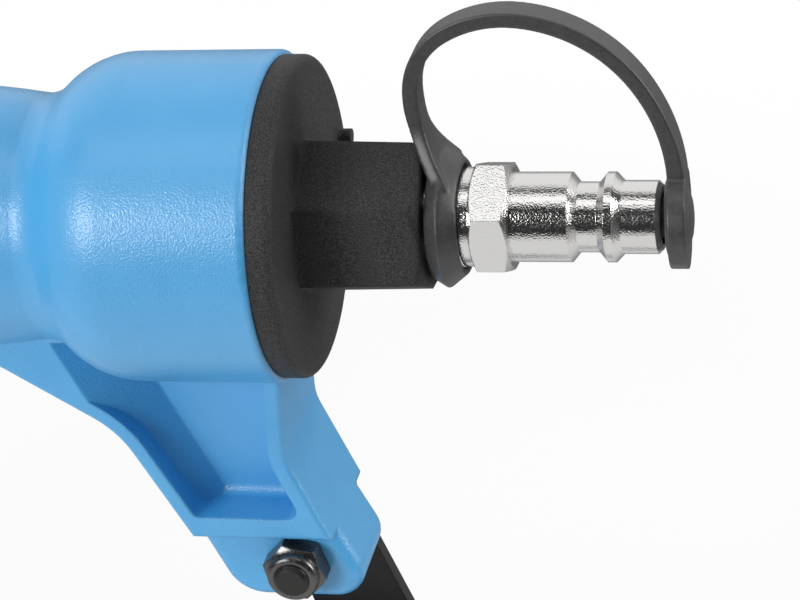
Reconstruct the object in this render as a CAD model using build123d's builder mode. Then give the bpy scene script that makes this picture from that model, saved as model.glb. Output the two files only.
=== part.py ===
"""Pneumatic stapler for narrow-crown staples, in millimetres.

X runs from the nose to the air plug, Z up the driver's line, and the origin is on the driver's line
at the underside of the contact foot, where the tool meets the work.
"""

import os
from math import atan2, cos, degrees, pi, radians, sin, sqrt, tan

from build123d import *

os.makedirs("parts", exist_ok=True)

# Fits: spigots and screws in their holes, turning or sliding pins, and pieces that pass each other
slip = 0.1
run = 0.06
slide_gap = 0.3
free = 0.4

# Staple and driver
crown_width = 5.8
staple_wire = 1.2
leg_length = 32.0
blade_thickness = 1.3
blade_tip_gap = 1.8

# Contact foot and nose
foot_travel = 6.0
foot_sheet = 2.0
foot_toe_height = 2.5
foot_length = 12.0
foot_front_x = -5.0
foot_arm_height = 11.0
foot_bar = 3.5
foot_corner_r = 4.0
nose_half_width = 13.0
nose_tip_half_width = 7.0
nose_tip_height = 6.0
nose_taper_height = 10.0
nose_back_x = 8.0
front_plate_thickness = 4.0
nose_flange_thickness = 7.0
nose_flange_front = 16.0
nose_flange_rear = 24.0
nose_ear_length = 12.0
nose_ear_thickness = 3.0
nose_ear_height = 36.0
nose_flange_corner_r = 4.0
front_screw_spread = 19.0
front_screw_low_z = 26.0
front_screw_high_z = 51.5
screw_bite = 7.0
guide_screw_x = 2.0
guide_screw_z = 31.0

# Magazine
magazine_lift = 4.0
channel_wall = 2.2
channel_end_x = 222.0
channel_lip = 1.2
runner_height = 2.0
runner_depth = 1.0
spring_tunnel = 5.6
pusher_length = 24.0
pusher_eye_length = 14.0
pusher_rod_d = 2.0
pusher_eye_half_width = 2.2
pusher_eye_rise = 2.5
end_block_length = 14.0
end_block_drop = 5.0
rail_seat = 8.0
latch_thickness = 3.0
latch_half_width = 3.0
latch_pivot_back = 7.0
latch_tail = 6.5
latch_hook_depth = 2.4
latch_hook_length = 3.2
latch_pin_d = 3.0
latch_hub_wall = 1.6
latch_thumb_length = 3.0
latch_thumb_rise = 1.5
latch_spring_back = 4.3
latch_spring_pocket = 2.0
catch_height = 2.4
catch_length = 3.0
catch_inset = 5.0
catch_half_width = 2.5
catch_gap = 0.8

# Head, cylinder and piston
bore_d = 38.0
sleeve_wall = 2.0
barrel_wall = 3.5
lower_chamber_d = 49.0
upper_chamber_d = 53.0
deck_thickness = 10.0
bumper_height = 14.0
bumper_gap = 0.7
piston_height = 12.0
piston_boss_d = 16.0
piston_boss_depth = 5.0
blade_seat = 4.0
driver_pin_d = 3.0
cylinder_head_room = 3.0
collar_height = 7.0
collar_rise = 26.0
port_d = 2.6
port_count = 8
port_drop = 5.0
o_ring_d = 2.0
head_valve_thickness = 6.0
head_valve_lift = 4.0
head_valve_stem_d = 16.0
head_valve_stem_rise = 17.0
head_room = 1.8
head_valve_rim = 2.5
head_valve_stem_bore = 10.0
flange_thickness = 14.0
flange_corner_r = 8.0
cap_screw_inset = 7.5
gasket_thickness = 1.0
cap_height = 25.0
cap_plate_thickness = 9.0
cap_drum_d = 48.0
cap_spigot_depth = 3.0
cap_spigot_wall = 2.0
cap_pocket_depth = 6.0
cap_edge_r = 3.0
exhaust_port_d = 4.4
exhaust_port_circle = 36.0
exhaust_port_count = 6
deflector_d = 44.0
deflector_height = 12.0
deflector_wall = 2.5
deflector_hub_d = 13.0
deflector_window = 26.0
deflector_edge_r = 2.0

# Handle and grip
handle_z = 130.0
handle_chamber_d = 25.0
grip_front_x = 78.0
grip_rear_gap = 1.5
grip_thickness = 2.4
handle_root_half_width = 17.0
handle_root_half_height = 22.5
handle_waist_x = 72.0
handle_waist_half_width = 15.2
handle_waist_half_height = 18.4
handle_palm_x = 108.0
handle_palm_half_width = 16.6
handle_palm_half_height = 19.4

# Rear bell, end cap and air plug, along the handle from the blue rear face
bell_end_x = 175.8
bell_d = 44.8
bell_straight = 19.8
shoulder_r = 13.0
shoulder_foot_r = 6.0
shoulder_turn = 45.0
bell_rim_r = 0.8
cap_disc_d = 43.4
cap_disc_thickness = 3.4
cap_disc_edge_r = 1.0
spigot_d = 35.0
spigot_length = 13.0
hex_boss_flats = 19.5
hex_boss_length = 16.5
hex_boss_draft = 1.2
hex_boss_turn = 30.0
air_passage_d = 10.0
cap_stop_radius = 18.6
cap_stop_turn = 9.6
cap_stop_d = 2.2
cap_stop_height = 1.7
plug_bore_d = 7.2
plug_thread_d = 13.2
plug_thread_length = 12.0
plug_neck_length = 5.9
plug_hex_flats = 14.0
plug_hex_length = 5.2
plug_hex_turn = 22.9
plug_body_d = 11.9
plug_body_length = 7.66
plug_groove_d = 9.3
plug_groove_length = 2.65
plug_cone_length = 1.06
plug_collar_length = 1.05
plug_tip_d = 9.67
plug_tip_length = 5.1
plug_chamfer = 0.6

# Dust cap: its ring, the strap's bends from the ring over the top, and the plug
dust_ring_gap = 0.4
dust_ring_hole_d = 13.9
dust_ring_back_d = 16.6
dust_ring_depth = 4.2
dust_ring_ridge_d = 18.9
dust_ring_ridge_x = 1.9
dust_ring_wall = 0.65
strap_width = 4.4
strap_root_width = 10.5
strap_flare_run = 6.0
strap_thickness = 2.0
strap_root_z = 8.4
strap_lean = 121.2
strap_root_r = 17.86
strap_root_turn = 35.1
strap_heel_r = 9.82
strap_heel_turn = 56.0
strap_top_r = 15.7
strap_top_turn = 36.4
strap_fall_r = 20.87
strap_fall_turn = 49.2
strap_tail_r = 24.05
strap_tail_turn = 12.0
limb_r = 24.05
button_d = 13.5
button_thickness = 2.35
button_shoulder_d = 9.7
dome_d = 8.8
dome_height = 0.85
dust_plug_d = 5.5
dust_plug_length = 2.6

# Arm below the bell, its lugs and the hanger, from the bell's rear face and the handle's axis
arm_half_width = 9.5
arm_web = 5.0
arm_rim = 2.3
arm_floor_rim = 3.4
pocket_corner_r = 1.6
pocket_floor_r = 1.4
pocket_slope_x = -17.3
pocket_slope_drop = 33.4
pocket_slope_lean = 66.2
arm_floor_drop = 45.85
arm_front_foot_x = -17.2
arm_front_mid_x = -24.1
arm_front_mid_drop = 32.2
arm_blend_r = 14.2
arm_blend_turn = 30.0
arm_rear_x = -1.0
arm_rear_knee_x = -2.2
arm_rear_knee_drop = 32.8
arm_rear_foot_x = 3.0
arm_knee_r = 8.0
arm_sink = 1.5
arm_root_sink = 4.5
arm_edge_r = 0.7
lug_bottom_drop = 57.2
lug_front_x = -12.4
lug_rear_x = 8.4
lug_front_corner_r = 6.0
lug_rear_corner_r = 4.2
lug_edge_r = 2.0
bolt_x = -2.9
bolt_drop = 50.8
bolt_d = 5.0
bolt_head_flats = 8.0
bolt_head_height = 3.5
nut_hex_height = 3.2
nut_height = 4.7
bolt_end_proud = 0.7
nut_turn = -13.0
nut_collar_r = 0.8
hanger_thickness = 2.3
hanger_half_width = 7.0
hanger_lean = 76.0
hanger_top_margin = 5.0
hanger_corner_r = 5.5
hanger_foot_thickness = 3.0
hanger_foot_front = 15.0
hanger_foot_rear = 15.0

# Trigger and its valve
trigger_x = 36.0
trigger_drop = 29.0
trigger_half_width = 8.0
trigger_sheet = 2.0
trigger_hub_r = 5.0
trigger_reach = 35.0
trigger_web = 2.6
trigger_scoop = 1.0
trigger_wall = 2.5
trigger_pin_d = 4.0
ear_thickness = 3.6
ear_r = 7.0
valve_x = 54.0
valve_boss_drop = 25.0
valve_boss_d = 26.0
valve_d = 18.0
valve_length = 17.0
valve_wall = 3.5
valve_floor = 3.0
valve_cap_thickness = 3.0
valve_pin_d = 3.0
valve_pin_rise = 7.0
stem_d = 5.0
stem_reach = 4.0
stem_poppet_d = 9.0
stem_poppet_height = 3.0
stem_guide_d = 3.2
lever_gap = 2.0
lever_thickness = 3.0
lever_half_width = 4.0
lever_pin_back = 28.0
lever_pin_d = 3.0
rod_x = 44.0
rod_d = 5.0
rod_gap = 5.2
rod_lug_height = 6.0
rod_lug_d = 12.0
rod_lug_z = 80.0
bridge_thickness = 2.5
bridge_gap = 0.6
bridge_length = 12.0

# Screws: M5 and M4 socket heads
m5_d = 5.0
m5_head_d = 8.5
m5_head_height = 5.0
m4_d = 4.0
m4_head_d = 7.0
m4_head_height = 2.4
socket_share = 0.5
bevel_angle = 30.0

# Coil springs: room at the seats, wire, mean diameter and turns
seat_gap = 0.2
contact_wire = 1.0
contact_mean_d = 7.6
contact_turns = 6
head_wire = 1.3
head_mean_d = 25.0
head_turns = 3
valve_wire = 0.6
valve_mean_d = 6.0
valve_turns = 3
pusher_wire = 0.6
pusher_mean_d = 3.4
pusher_turns = 30
latch_wire = 0.5
latch_mean_d = 3.2
latch_turns = 3

# Levels worked out from the sizes above, from the work surface up
nose_tip_z = foot_travel
channel_bottom_z = nose_tip_z + magazine_lift
groove_z = channel_bottom_z + channel_lip
runner_z = groove_z + slide_gap
runner_top_z = runner_z + runner_height
staple_floor_z = runner_top_z + slide_gap + free
crown_z = staple_floor_z + leg_length
tunnel_z = crown_z + free + spring_tunnel / 2
roof_z = tunnel_z + spring_tunnel / 2
channel_top_z = roof_z + channel_wall
bridge_z = channel_top_z + bridge_gap
bridge_top_z = bridge_z + bridge_thickness
deck_z = bridge_top_z + foot_travel + 1.0
cylinder_z = deck_z + deck_thickness
stroke = crown_z + blade_tip_gap - nose_tip_z
piston_z = cylinder_z + bumper_height + bumper_gap + stroke
cylinder_top_z = piston_z + piston_height + cylinder_head_room
collar_z = cylinder_z + collar_rise
valve_top_z = cylinder_top_z + head_valve_thickness
head_top_z = valve_top_z + head_valve_lift + head_room
cap_z = head_top_z + gasket_thickness
cap_top_z = cap_z + cap_height
stem_bore_top_z = valve_top_z + head_valve_stem_rise + head_valve_lift + free

# Plans worked out from the sizes above
slot_depth = blade_thickness + 2 * slip
slot_width = crown_width + 2 * slip
blade_width = crown_width
channel_inner = crown_width / 2 + slide_gap
channel_outer = channel_inner + channel_wall
core_half = crown_width / 2 - staple_wire - slide_gap
rail_front_x = slot_depth / 2 + free
pusher_half = channel_inner - slide_gap
barrel_d = upper_chamber_d + 2 * barrel_wall
barrel_r = barrel_d / 2
cap_screw_spread = barrel_d - 2 * cap_screw_inset
bell_r = bell_d / 2
sleeve_r = bore_d / 2 + sleeve_wall
foot_inner = nose_half_width + free
foot_outer = foot_inner + foot_sheet
trigger_z = handle_z - trigger_drop
valve_boss_z = handle_z - valve_boss_drop
stem_tip_z = valve_boss_z - stem_reach
lever_top_z = stem_tip_z - lever_gap
rod_top_z = lever_top_z - lever_thickness - rod_gap
lever_pin_x = trigger_x + lever_pin_back
lever_pin_z = lever_top_z - lever_thickness - lever_pin_d / 2
bolt_z = handle_z - bolt_drop
lug_half_width = arm_half_width - hanger_thickness
shoulder_length = (shoulder_r + shoulder_foot_r) * sin(radians(shoulder_turn))
shoulder_drop = (shoulder_r + shoulder_foot_r) * (1 - cos(radians(shoulder_turn)))
neck_r = bell_r - shoulder_drop
neck_x = bell_end_x - bell_straight - shoulder_length
boss_end = cap_disc_thickness + hex_boss_length
handle_ovals = [
    (barrel_r * 0.8, handle_root_half_width, handle_root_half_height),
    (handle_waist_x, handle_waist_half_width, handle_waist_half_height),
    (handle_palm_x, handle_palm_half_width, handle_palm_half_height),
    (neck_x, neck_r, neck_r),
]

# Planes: the rear end's side view, a section across the handle, and the handle's axis
rear_side = Plane(origin=(bell_end_x, 0, handle_z), x_dir=(1, 0, 0), z_dir=(0, -1, 0))
handle_axis = Axis((0, 0, handle_z), (1, 0, 0))


def across(x, z=handle_z):
    """Section plane square to X, with +Y to its right and +Z up."""
    return Plane(origin=(x, 0, z), x_dir=(0, 1, 0), z_dir=(1, 0, 0))


def level(x, y, z):
    """Horizontal plane with its origin at the point."""
    return Plane(origin=(x, y, z))


def helix_point(angle, mean_r, pitch):
    return Vector(mean_r * cos(angle), mean_r * sin(angle), pitch * angle / (2 * pi))


def helix_tangent(angle, mean_r, pitch):
    return Vector(-mean_r * sin(angle), mean_r * cos(angle), pitch / (2 * pi)).normalized()


def coil_spring(base, turns, wire, mean_d, length):
    """Coil spring between the base plane and a seat at the given length: one tube on tangent arcs."""
    mean_r = mean_d / 2
    pitch = (length - wire - seat_gap) / turns
    lift = Vector(0, 0, (wire + seat_gap) / 2)

    def placed(point):
        return base.from_local_coords(point + lift)

    def turned(direction):
        return base.from_local_coords(direction) - base.origin

    with BuildLine() as path:
        for half_turn in range(2 * turns):
            start, end = half_turn * pi, (half_turn + 1) * pi
            p0, p1 = helix_point(start, mean_r, pitch), helix_point(end, mean_r, pitch)
            t0, t1 = helix_tangent(start, mean_r, pitch), helix_tangent(end, mean_r, pitch)
            chord = p1 - p0
            bend = 2 * (1 - t0.dot(t1))
            along = chord.dot(t0 + t1)
            reach = (sqrt(along**2 + bend * chord.dot(chord)) - along) / bend
            middle = (p0 + p1 + (t0 - t1) * reach) * 0.5
            across_middle = (p1 - t1 * reach - p0 - t0 * reach).normalized()
            TangentArc(placed(p0), placed(middle), tangent=turned(t0))
            TangentArc(placed(middle), placed(p1), tangent=turned(across_middle))
    with BuildPart() as tube:
        with BuildSketch(Plane(origin=path.line @ 0, z_dir=path.line % 0)):
            Circle(wire / 2)
        sweep(path=path.line)
    marks = [path.line @ (step / (24 * turns)) for step in range(24 * turns + 1)]
    gap = min((a - b).length for i, a in enumerate(marks) for b in marks[i + 16 :]) - wire
    print("coil of", turns, "turns, least gap to itself", round(gap, 2), "mm")
    return tube.part


def socket_screws(places, thread_d, head_d, head_height, length):
    """Socket-head screws: a head standing on each plane and a shank going the other way."""
    with BuildPart() as screws:
        for place in places:
            with BuildSketch(place):
                Circle(head_d / 2)
            extrude(amount=head_height)
            with BuildSketch(place):
                Circle(thread_d / 2)
            extrude(amount=-length)
            with BuildSketch(place.offset(head_height)):
                RegularPolygon(radius=thread_d * socket_share, side_count=6)
            extrude(amount=-head_height * socket_share, mode=Mode.SUBTRACT)
    return screws.part


def hex_bevel(plane, flats):
    """Ring to cut from a hexagon that ends at the plane, so that a cone bevels its corners."""
    inner_r = flats * 0.48
    outer_r = flats * 0.6
    height = (outer_r - inner_r) * tan(radians(bevel_angle))
    with BuildPart() as ring:
        with Locations(plane):
            Cylinder(outer_r, height, align=(Align.CENTER, Align.CENTER, Align.MAX))
            Cone(outer_r, inner_r, height, align=(Align.CENTER, Align.CENTER, Align.MAX), mode=Mode.SUBTRACT)
    return ring.part


def o_ring(plane, outer_r, section_d):
    """Rubber ring of round section that reaches outer_r, on the plane through its middle."""
    with BuildPart() as ring:
        with Locations(plane):
            Torus(outer_r - section_d / 2, section_d / 2)
    return ring.part


def round_hole(plane, radius, depth):
    """Hole bored into the piece being built, from the plane towards its back."""
    with Locations(plane):
        Cylinder(radius, depth, align=(Align.CENTER, Align.CENTER, Align.MAX), mode=Mode.SUBTRACT)


# Main body: the arm comes first, so that its pockets run up under the bell
arm_slope = atan2(arm_floor_drop - arm_front_mid_drop, arm_front_foot_x - arm_front_mid_x)
arm_rear_slope = atan2(arm_floor_drop - arm_rear_knee_drop, arm_rear_foot_x - arm_rear_knee_x)
ramp_slope = arm_slope - radians(arm_blend_turn)
ramp_x = arm_front_mid_x - arm_blend_r * (sin(arm_slope) - sin(ramp_slope))
ramp_drop = arm_front_mid_drop - arm_blend_r * (cos(ramp_slope) - cos(arm_slope))
arm_root_drop = neck_r - arm_root_sink
arm_root_x = ramp_x - (ramp_drop - arm_root_drop) / tan(ramp_slope)
arm_start_x = bell_end_x + arm_root_x

with BuildSketch(rear_side) as arm_outline:
    with BuildLine():
        blend = JernArc(
            start=(arm_front_mid_x, -arm_front_mid_drop),
            tangent=(-cos(arm_slope), sin(arm_slope)),
            radius=arm_blend_r,
            arc_size=arm_blend_turn,
        )
        Polyline(
            blend @ 1,
            (arm_root_x, -arm_root_drop),
            (arm_rear_x, -arm_root_drop),
            (arm_rear_knee_x, -arm_rear_knee_drop),
            (arm_rear_foot_x, -arm_floor_drop),
            (arm_front_foot_x, -arm_floor_drop),
            blend @ 0,
        )
    make_face()
    knee = arm_outline.vertices().sort_by_distance((arm_rear_knee_x, -arm_rear_knee_drop))[0]
    fillet(knee, radius=arm_knee_r)

slope_lean = radians(pocket_slope_lean)
pocket_slope = Plane(
    origin=(bell_end_x + pocket_slope_x, -arm_web / 2, handle_z - pocket_slope_drop),
    x_dir=(-sin(slope_lean), 0, -cos(slope_lean)),
    z_dir=(cos(slope_lean), 0, -sin(slope_lean)),
)
with BuildPart() as arm_pocket:
    with BuildSketch(rear_side.offset(arm_half_width)):
        add(arm_outline.sketch_local)
        offset(amount=-arm_rim, mode=Mode.REPLACE)
        with Locations((0, -arm_floor_drop)):
            Rectangle(4 * bell_d, 2 * arm_floor_rim, mode=Mode.SUBTRACT)
    extrude(amount=-(arm_half_width - arm_web / 2))
    fillet(arm_pocket.edges().filter_by(Axis.Y), radius=pocket_corner_r)
    fillet(arm_pocket.faces().sort_by(Axis.Y)[-1].edges(), radius=pocket_floor_r)
    with BuildSketch(pocket_slope):
        Polygon((0, 0), (bell_d, 0), (bell_d, -bell_d), align=None)
    extrude(amount=bell_d, both=True, mode=Mode.SUBTRACT)

with BuildPart() as lug_block:
    with BuildSketch(rear_side) as lug_outline:
        with BuildLine():
            Polyline(
                (arm_front_foot_x - arm_sink / tan(arm_slope), -arm_floor_drop + arm_sink),
                (lug_front_x, -lug_bottom_drop),
                (lug_rear_x, -lug_bottom_drop),
                (arm_rear_foot_x - arm_sink / tan(arm_rear_slope), -arm_floor_drop + arm_sink),
                close=True,
            )
        make_face()
        lug_feet = lug_outline.vertices().group_by(Axis.Y)[0].sort_by(Axis.X)
        fillet(lug_feet[0], radius=lug_front_corner_r)
        fillet(lug_outline.vertices().sort_by_distance(lug_feet[1])[0], radius=lug_rear_corner_r)
    extrude(amount=lug_half_width, both=True)
    lug_rim = lug_block.faces().filter_by(Axis.Y).edges()
    fillet(lug_rim - lug_rim.group_by(Axis.Z)[-1], radius=lug_edge_r)

nose_screw_places = [(-nose_flange_front + m5_head_d * 0.6, side * nose_half_width * 0.6) for side in (-1, 1)]
nose_screw_places += [(nose_flange_rear - m5_head_d * 0.6, side * nose_half_width * 0.6) for side in (-1, 1)]
cap_screw_places = [(x * cap_screw_spread / 2, y * cap_screw_spread / 2) for x in (-1, 1) for y in (-1, 1)]

with BuildPart() as main_body:
    # Arm with rounded rims and two pockets
    with BuildSketch(rear_side):
        add(arm_outline.sketch_local)
    extrude(amount=arm_half_width, both=True)
    fillet(main_body.faces().filter_by(Axis.Y).edges(), radius=arm_edge_r)
    add(arm_pocket.part, mode=Mode.SUBTRACT)
    add(mirror(arm_pocket.part, about=Plane.XZ, mode=Mode.PRIVATE), mode=Mode.SUBTRACT)

    # Lug at the foot of the arm, bored for the hanger's bolt
    add(lug_block.part)
    with BuildSketch(rear_side):
        with Locations((bolt_x, -bolt_drop)):
            Circle(bolt_d / 2 + slip)
    extrude(amount=lug_half_width, both=True, mode=Mode.SUBTRACT)

    # Head barrel and its square top flange
    with BuildSketch(Plane.XY.offset(deck_z)):
        Circle(barrel_r)
    extrude(amount=head_top_z - deck_z)
    with BuildSketch(Plane.XY.offset(head_top_z)):
        RectangleRounded(barrel_d, barrel_d, flange_corner_r)
    extrude(amount=-flange_thickness)

    # Handle, an oval that swells under the palm, then the bell that takes the end cap
    for x, half_width, half_height in handle_ovals:
        with BuildSketch(across(x)):
            Ellipse(half_width, half_height)
    loft()
    with BuildSketch(rear_side) as bell_profile:
        with BuildLine():
            foot_arc = JernArc(
                start=(neck_x - bell_end_x, neck_r),
                tangent=(1, 0),
                radius=shoulder_foot_r,
                arc_size=shoulder_turn,
            )
            crown_arc = JernArc(
                start=foot_arc @ 1,
                tangent=foot_arc % 1,
                radius=shoulder_r,
                arc_size=-shoulder_turn,
            )
            Polyline(crown_arc @ 1, (0, bell_r), (0, 0), (neck_x - bell_end_x, 0), foot_arc @ 0)
        make_face()
        fillet(bell_profile.vertices().sort_by_distance((0, bell_r))[0], radius=bell_rim_r)
    revolve(axis=handle_axis)

    # Trigger ears, valve boss and the guide lug of the push rod
    for side in (-1, 1):
        with BuildSketch(Plane.XZ.offset(side * (trigger_half_width + free))):
            with Locations((trigger_x, trigger_z)):
                Circle(ear_r)
                Rectangle(2 * ear_r, handle_z - trigger_z, align=(Align.CENTER, Align.MIN))
        extrude(amount=side * ear_thickness)
    with BuildSketch(Plane.XY.offset(valve_boss_z)):
        with Locations((valve_x, 0)):
            Circle(valve_boss_d / 2)
    extrude(amount=valve_boss_drop)
    with BuildSketch(Plane.XY.offset(rod_lug_z)):
        with Locations((rod_x, 0)):
            Circle(rod_lug_d / 2)
            Rectangle(rod_x - barrel_r / 2, rod_lug_d, align=(Align.MAX, Align.CENTER))
    extrude(amount=rod_lug_height)

    # Hollow inside: bell bore, handle chamber, head chambers, and the driver's slot through the deck
    round_hole(across(bell_end_x), spigot_d / 2 + slip, spigot_length + free)
    round_hole(across(bell_end_x), handle_chamber_d / 2, bell_end_x)
    round_hole(Plane.XY.offset(head_top_z), upper_chamber_d / 2, head_top_z - collar_z)
    round_hole(Plane.XY.offset(collar_z), lower_chamber_d / 2, collar_z - cylinder_z)
    with BuildSketch(Plane.XY.offset(deck_z)):
        Rectangle(slot_depth + 2 * free, slot_width + 2 * free)
    extrude(amount=deck_thickness, mode=Mode.SUBTRACT)

    # Bores for the valve, its pin, the push rod, the trigger pin and the screws
    round_hole(level(valve_x, 0, valve_boss_z + valve_length), valve_d / 2 + slip, valve_length)
    with BuildSketch(Plane.XZ):
        with Locations((valve_x + valve_d / 2, valve_boss_z + valve_pin_rise)):
            Circle(valve_pin_d / 2)
    extrude(amount=valve_boss_d, both=True, mode=Mode.SUBTRACT)
    round_hole(level(rod_x, 0, rod_lug_z + rod_lug_height), rod_d / 2 + run, rod_lug_height)
    with BuildSketch(Plane.XZ):
        with Locations((trigger_x, trigger_z)):
            Circle(trigger_pin_d / 2)
    extrude(amount=trigger_half_width + free + ear_thickness, both=True, mode=Mode.SUBTRACT)
    with BuildSketch(Plane.XY.offset(deck_z)):
        with Locations(*nose_screw_places):
            Circle(m5_d / 2)
    extrude(amount=deck_thickness - slip, mode=Mode.SUBTRACT)
    with BuildSketch(Plane.XY.offset(head_top_z)):
        with Locations(*cap_screw_places):
            Circle(m5_d / 2)
    extrude(amount=-(flange_thickness - slip), mode=Mode.SUBTRACT)

main_body.part.label = "main_body"
export_step(main_body.part, "parts/main_body.step")

# Cylinder: a steel liner whose collar hangs on the step between the two head chambers
collar_r = upper_chamber_d / 2 - slip
with BuildPart() as cylinder:
    with BuildSketch(Plane.XZ):
        with BuildLine():
            Polyline(
                (bore_d / 2, cylinder_z),
                (sleeve_r, cylinder_z),
                (sleeve_r, collar_z),
                (collar_r, collar_z),
                (collar_r, collar_z + collar_height),
                (sleeve_r, collar_z + collar_height),
                (sleeve_r, cylinder_top_z),
                (bore_d / 2, cylinder_top_z),
                close=True,
            )
        make_face()
    revolve(axis=Axis.Z)
    with BuildSketch(Plane.XZ):
        with Locations((collar_r, collar_z + collar_height / 2)):
            Rectangle(2 * (o_ring_d + slip), o_ring_d + 2 * slip)
    revolve(axis=Axis.Z, mode=Mode.SUBTRACT)
    for port in range(port_count):
        angle = 2 * pi * port / port_count
        outward = Plane(origin=(0, 0, collar_z - port_drop), z_dir=(cos(angle), sin(angle), 0))
        round_hole(outward.offset(2 * sleeve_r), port_d / 2, 2 * sleeve_r)
cylinder.part.label = "cylinder"
export_step(cylinder.part, "parts/cylinder.step")

cylinder_o_ring = o_ring(level(0, 0, collar_z + collar_height / 2), upper_chamber_d / 2 - slip / 2, o_ring_d)
cylinder_o_ring.label = "cylinder_o_ring"
export_step(cylinder_o_ring, "parts/cylinder_o_ring.step")

# Bumper: rubber stop at the cylinder's foot, coned at the top and open for the piston's boss
bumper_hole_r = piston_boss_d / 2 + 2 * free
with BuildPart() as bumper:
    with BuildSketch(Plane.XZ):
        with BuildLine():
            Polyline(
                (bumper_hole_r, cylinder_z),
                (bore_d / 2 - free, cylinder_z),
                (bore_d / 2 - free, cylinder_z + bumper_height * 0.6),
                (bore_d / 2 - bumper_height * 0.25, cylinder_z + bumper_height),
                (bumper_hole_r, cylinder_z + bumper_height),
                close=True,
            )
        make_face()
    revolve(axis=Axis.Z)
bumper.part.label = "bumper"
export_step(bumper.part, "parts/bumper.step")

# Piston with its seal groove, and a boss slotted and drilled for the blade
piston_r = bore_d / 2 - run
piston_mid_z = piston_z + piston_height / 2
driver_pin_z = piston_z - piston_boss_depth / 2
with BuildPart() as piston:
    with BuildSketch(Plane.XY.offset(piston_z)):
        Circle(piston_r)
    extrude(amount=piston_height)
    with BuildSketch(Plane.XY.offset(piston_z)):
        Circle(piston_boss_d / 2)
    extrude(amount=-piston_boss_depth)
    with BuildSketch(Plane.XZ):
        with Locations((piston_r, piston_mid_z)):
            Rectangle(2 * (o_ring_d + slip), o_ring_d + 2 * slip)
    revolve(axis=Axis.Z, mode=Mode.SUBTRACT)
    with BuildSketch(Plane.XY.offset(piston_z - piston_boss_depth)):
        Rectangle(blade_thickness + 2 * slip, blade_width + 2 * slip)
    extrude(amount=piston_boss_depth + blade_seat, mode=Mode.SUBTRACT)
    round_hole(across(piston_boss_d / 2, driver_pin_z), driver_pin_d / 2, piston_boss_d)
piston.part.label = "piston"
export_step(piston.part, "parts/piston.step")

piston_o_ring = o_ring(level(0, 0, piston_mid_z), bore_d / 2 - run / 2, o_ring_d)
piston_o_ring.label = "piston_o_ring"
export_step(piston_o_ring, "parts/piston_o_ring.step")

# Driver blade, as wide as the staple's crown, held in the piston by a cross pin
blade_tip_z = nose_tip_z + stroke
with BuildPart() as driver_blade:
    with BuildSketch(Plane.XY.offset(blade_tip_z)):
        Rectangle(blade_thickness, blade_width)
    extrude(amount=piston_z + blade_seat - blade_tip_z)
    round_hole(across(blade_thickness, driver_pin_z), driver_pin_d / 2 + slip, 2 * blade_thickness)
driver_blade.part.label = "driver_blade"
export_step(driver_blade.part, "parts/driver_blade.step")

with BuildPart() as driver_pin:
    with BuildSketch(across(-piston_boss_d / 2 + free, driver_pin_z)):
        Circle(driver_pin_d / 2)
    extrude(amount=piston_boss_d - 2 * free)
driver_pin.part.label = "driver_pin"
export_step(driver_pin.part, "parts/driver_pin.step")

# Head valve: a poppet on the cylinder's rim with a hollow stem guided in the head cap
head_stem_r = head_valve_stem_d / 2
with BuildPart() as head_valve:
    with BuildSketch(Plane.XY.offset(cylinder_top_z)):
        Circle(sleeve_r + head_valve_rim)
    extrude(amount=head_valve_thickness)
    with BuildSketch(Plane.XY.offset(valve_top_z)):
        Circle(head_stem_r)
        Circle(head_valve_stem_bore / 2, mode=Mode.SUBTRACT)
    extrude(amount=head_valve_stem_rise)
head_valve.part.label = "head_valve"
export_step(head_valve.part, "parts/head_valve.step")

# Head cap: square plate, round drum, guide bore for the valve stem and a ring pocket for the spring
pocket_margin = head_wire / 2 + free
with BuildPart() as head_cap:
    with BuildSketch(Plane.XY.offset(cap_z)):
        RectangleRounded(barrel_d, barrel_d, flange_corner_r)
    extrude(amount=cap_plate_thickness)
    with BuildSketch(Plane.XY.offset(cap_z)):
        Circle(cap_drum_d / 2)
    extrude(amount=cap_height)
    fillet(head_cap.edges().group_by(Axis.Z)[-1], radius=cap_edge_r)
    with BuildSketch(Plane.XY.offset(cap_z)):
        Circle(upper_chamber_d / 2 - slip)
        Circle(upper_chamber_d / 2 - slip - cap_spigot_wall, mode=Mode.SUBTRACT)
    extrude(amount=-(gasket_thickness + cap_spigot_depth))
    round_hole(level(0, 0, stem_bore_top_z), head_stem_r + run, stem_bore_top_z - cap_z)
    with BuildSketch(Plane.XY.offset(cap_z)):
        Circle(head_mean_d / 2 + pocket_margin)
        Circle(head_mean_d / 2 - pocket_margin, mode=Mode.SUBTRACT)
    extrude(amount=cap_pocket_depth, mode=Mode.SUBTRACT)
    with BuildSketch(Plane.XY.offset(cap_z)):
        with PolarLocations(exhaust_port_circle / 2, exhaust_port_count):
            Circle(exhaust_port_d / 2)
        with Locations(*cap_screw_places):
            Circle(m5_d / 2 + slip)
    extrude(amount=cap_height, mode=Mode.SUBTRACT)
    round_hole(level(0, 0, cap_top_z), m5_d / 2, cap_top_z - stem_bore_top_z - 1)
head_cap.part.label = "head_cap"
export_step(head_cap.part, "parts/head_cap.step")

head_valve_spring = coil_spring(
    level(0, 0, valve_top_z), head_turns, head_wire, head_mean_d, cap_z + cap_pocket_depth - valve_top_z
)
head_valve_spring.label = "head_valve_spring"
export_step(head_valve_spring, "parts/head_valve_spring.step")

# Gasket and screws of the head cap
with BuildPart() as cap_gasket:
    with BuildSketch(Plane.XY.offset(head_top_z)):
        RectangleRounded(barrel_d, barrel_d, flange_corner_r)
        Circle(upper_chamber_d / 2, mode=Mode.SUBTRACT)
        with Locations(*cap_screw_places):
            Circle(m5_d / 2 + slip, mode=Mode.SUBTRACT)
    extrude(amount=gasket_thickness)
cap_gasket.part.label = "cap_gasket"
export_step(cap_gasket.part, "parts/cap_gasket.step")

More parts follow.
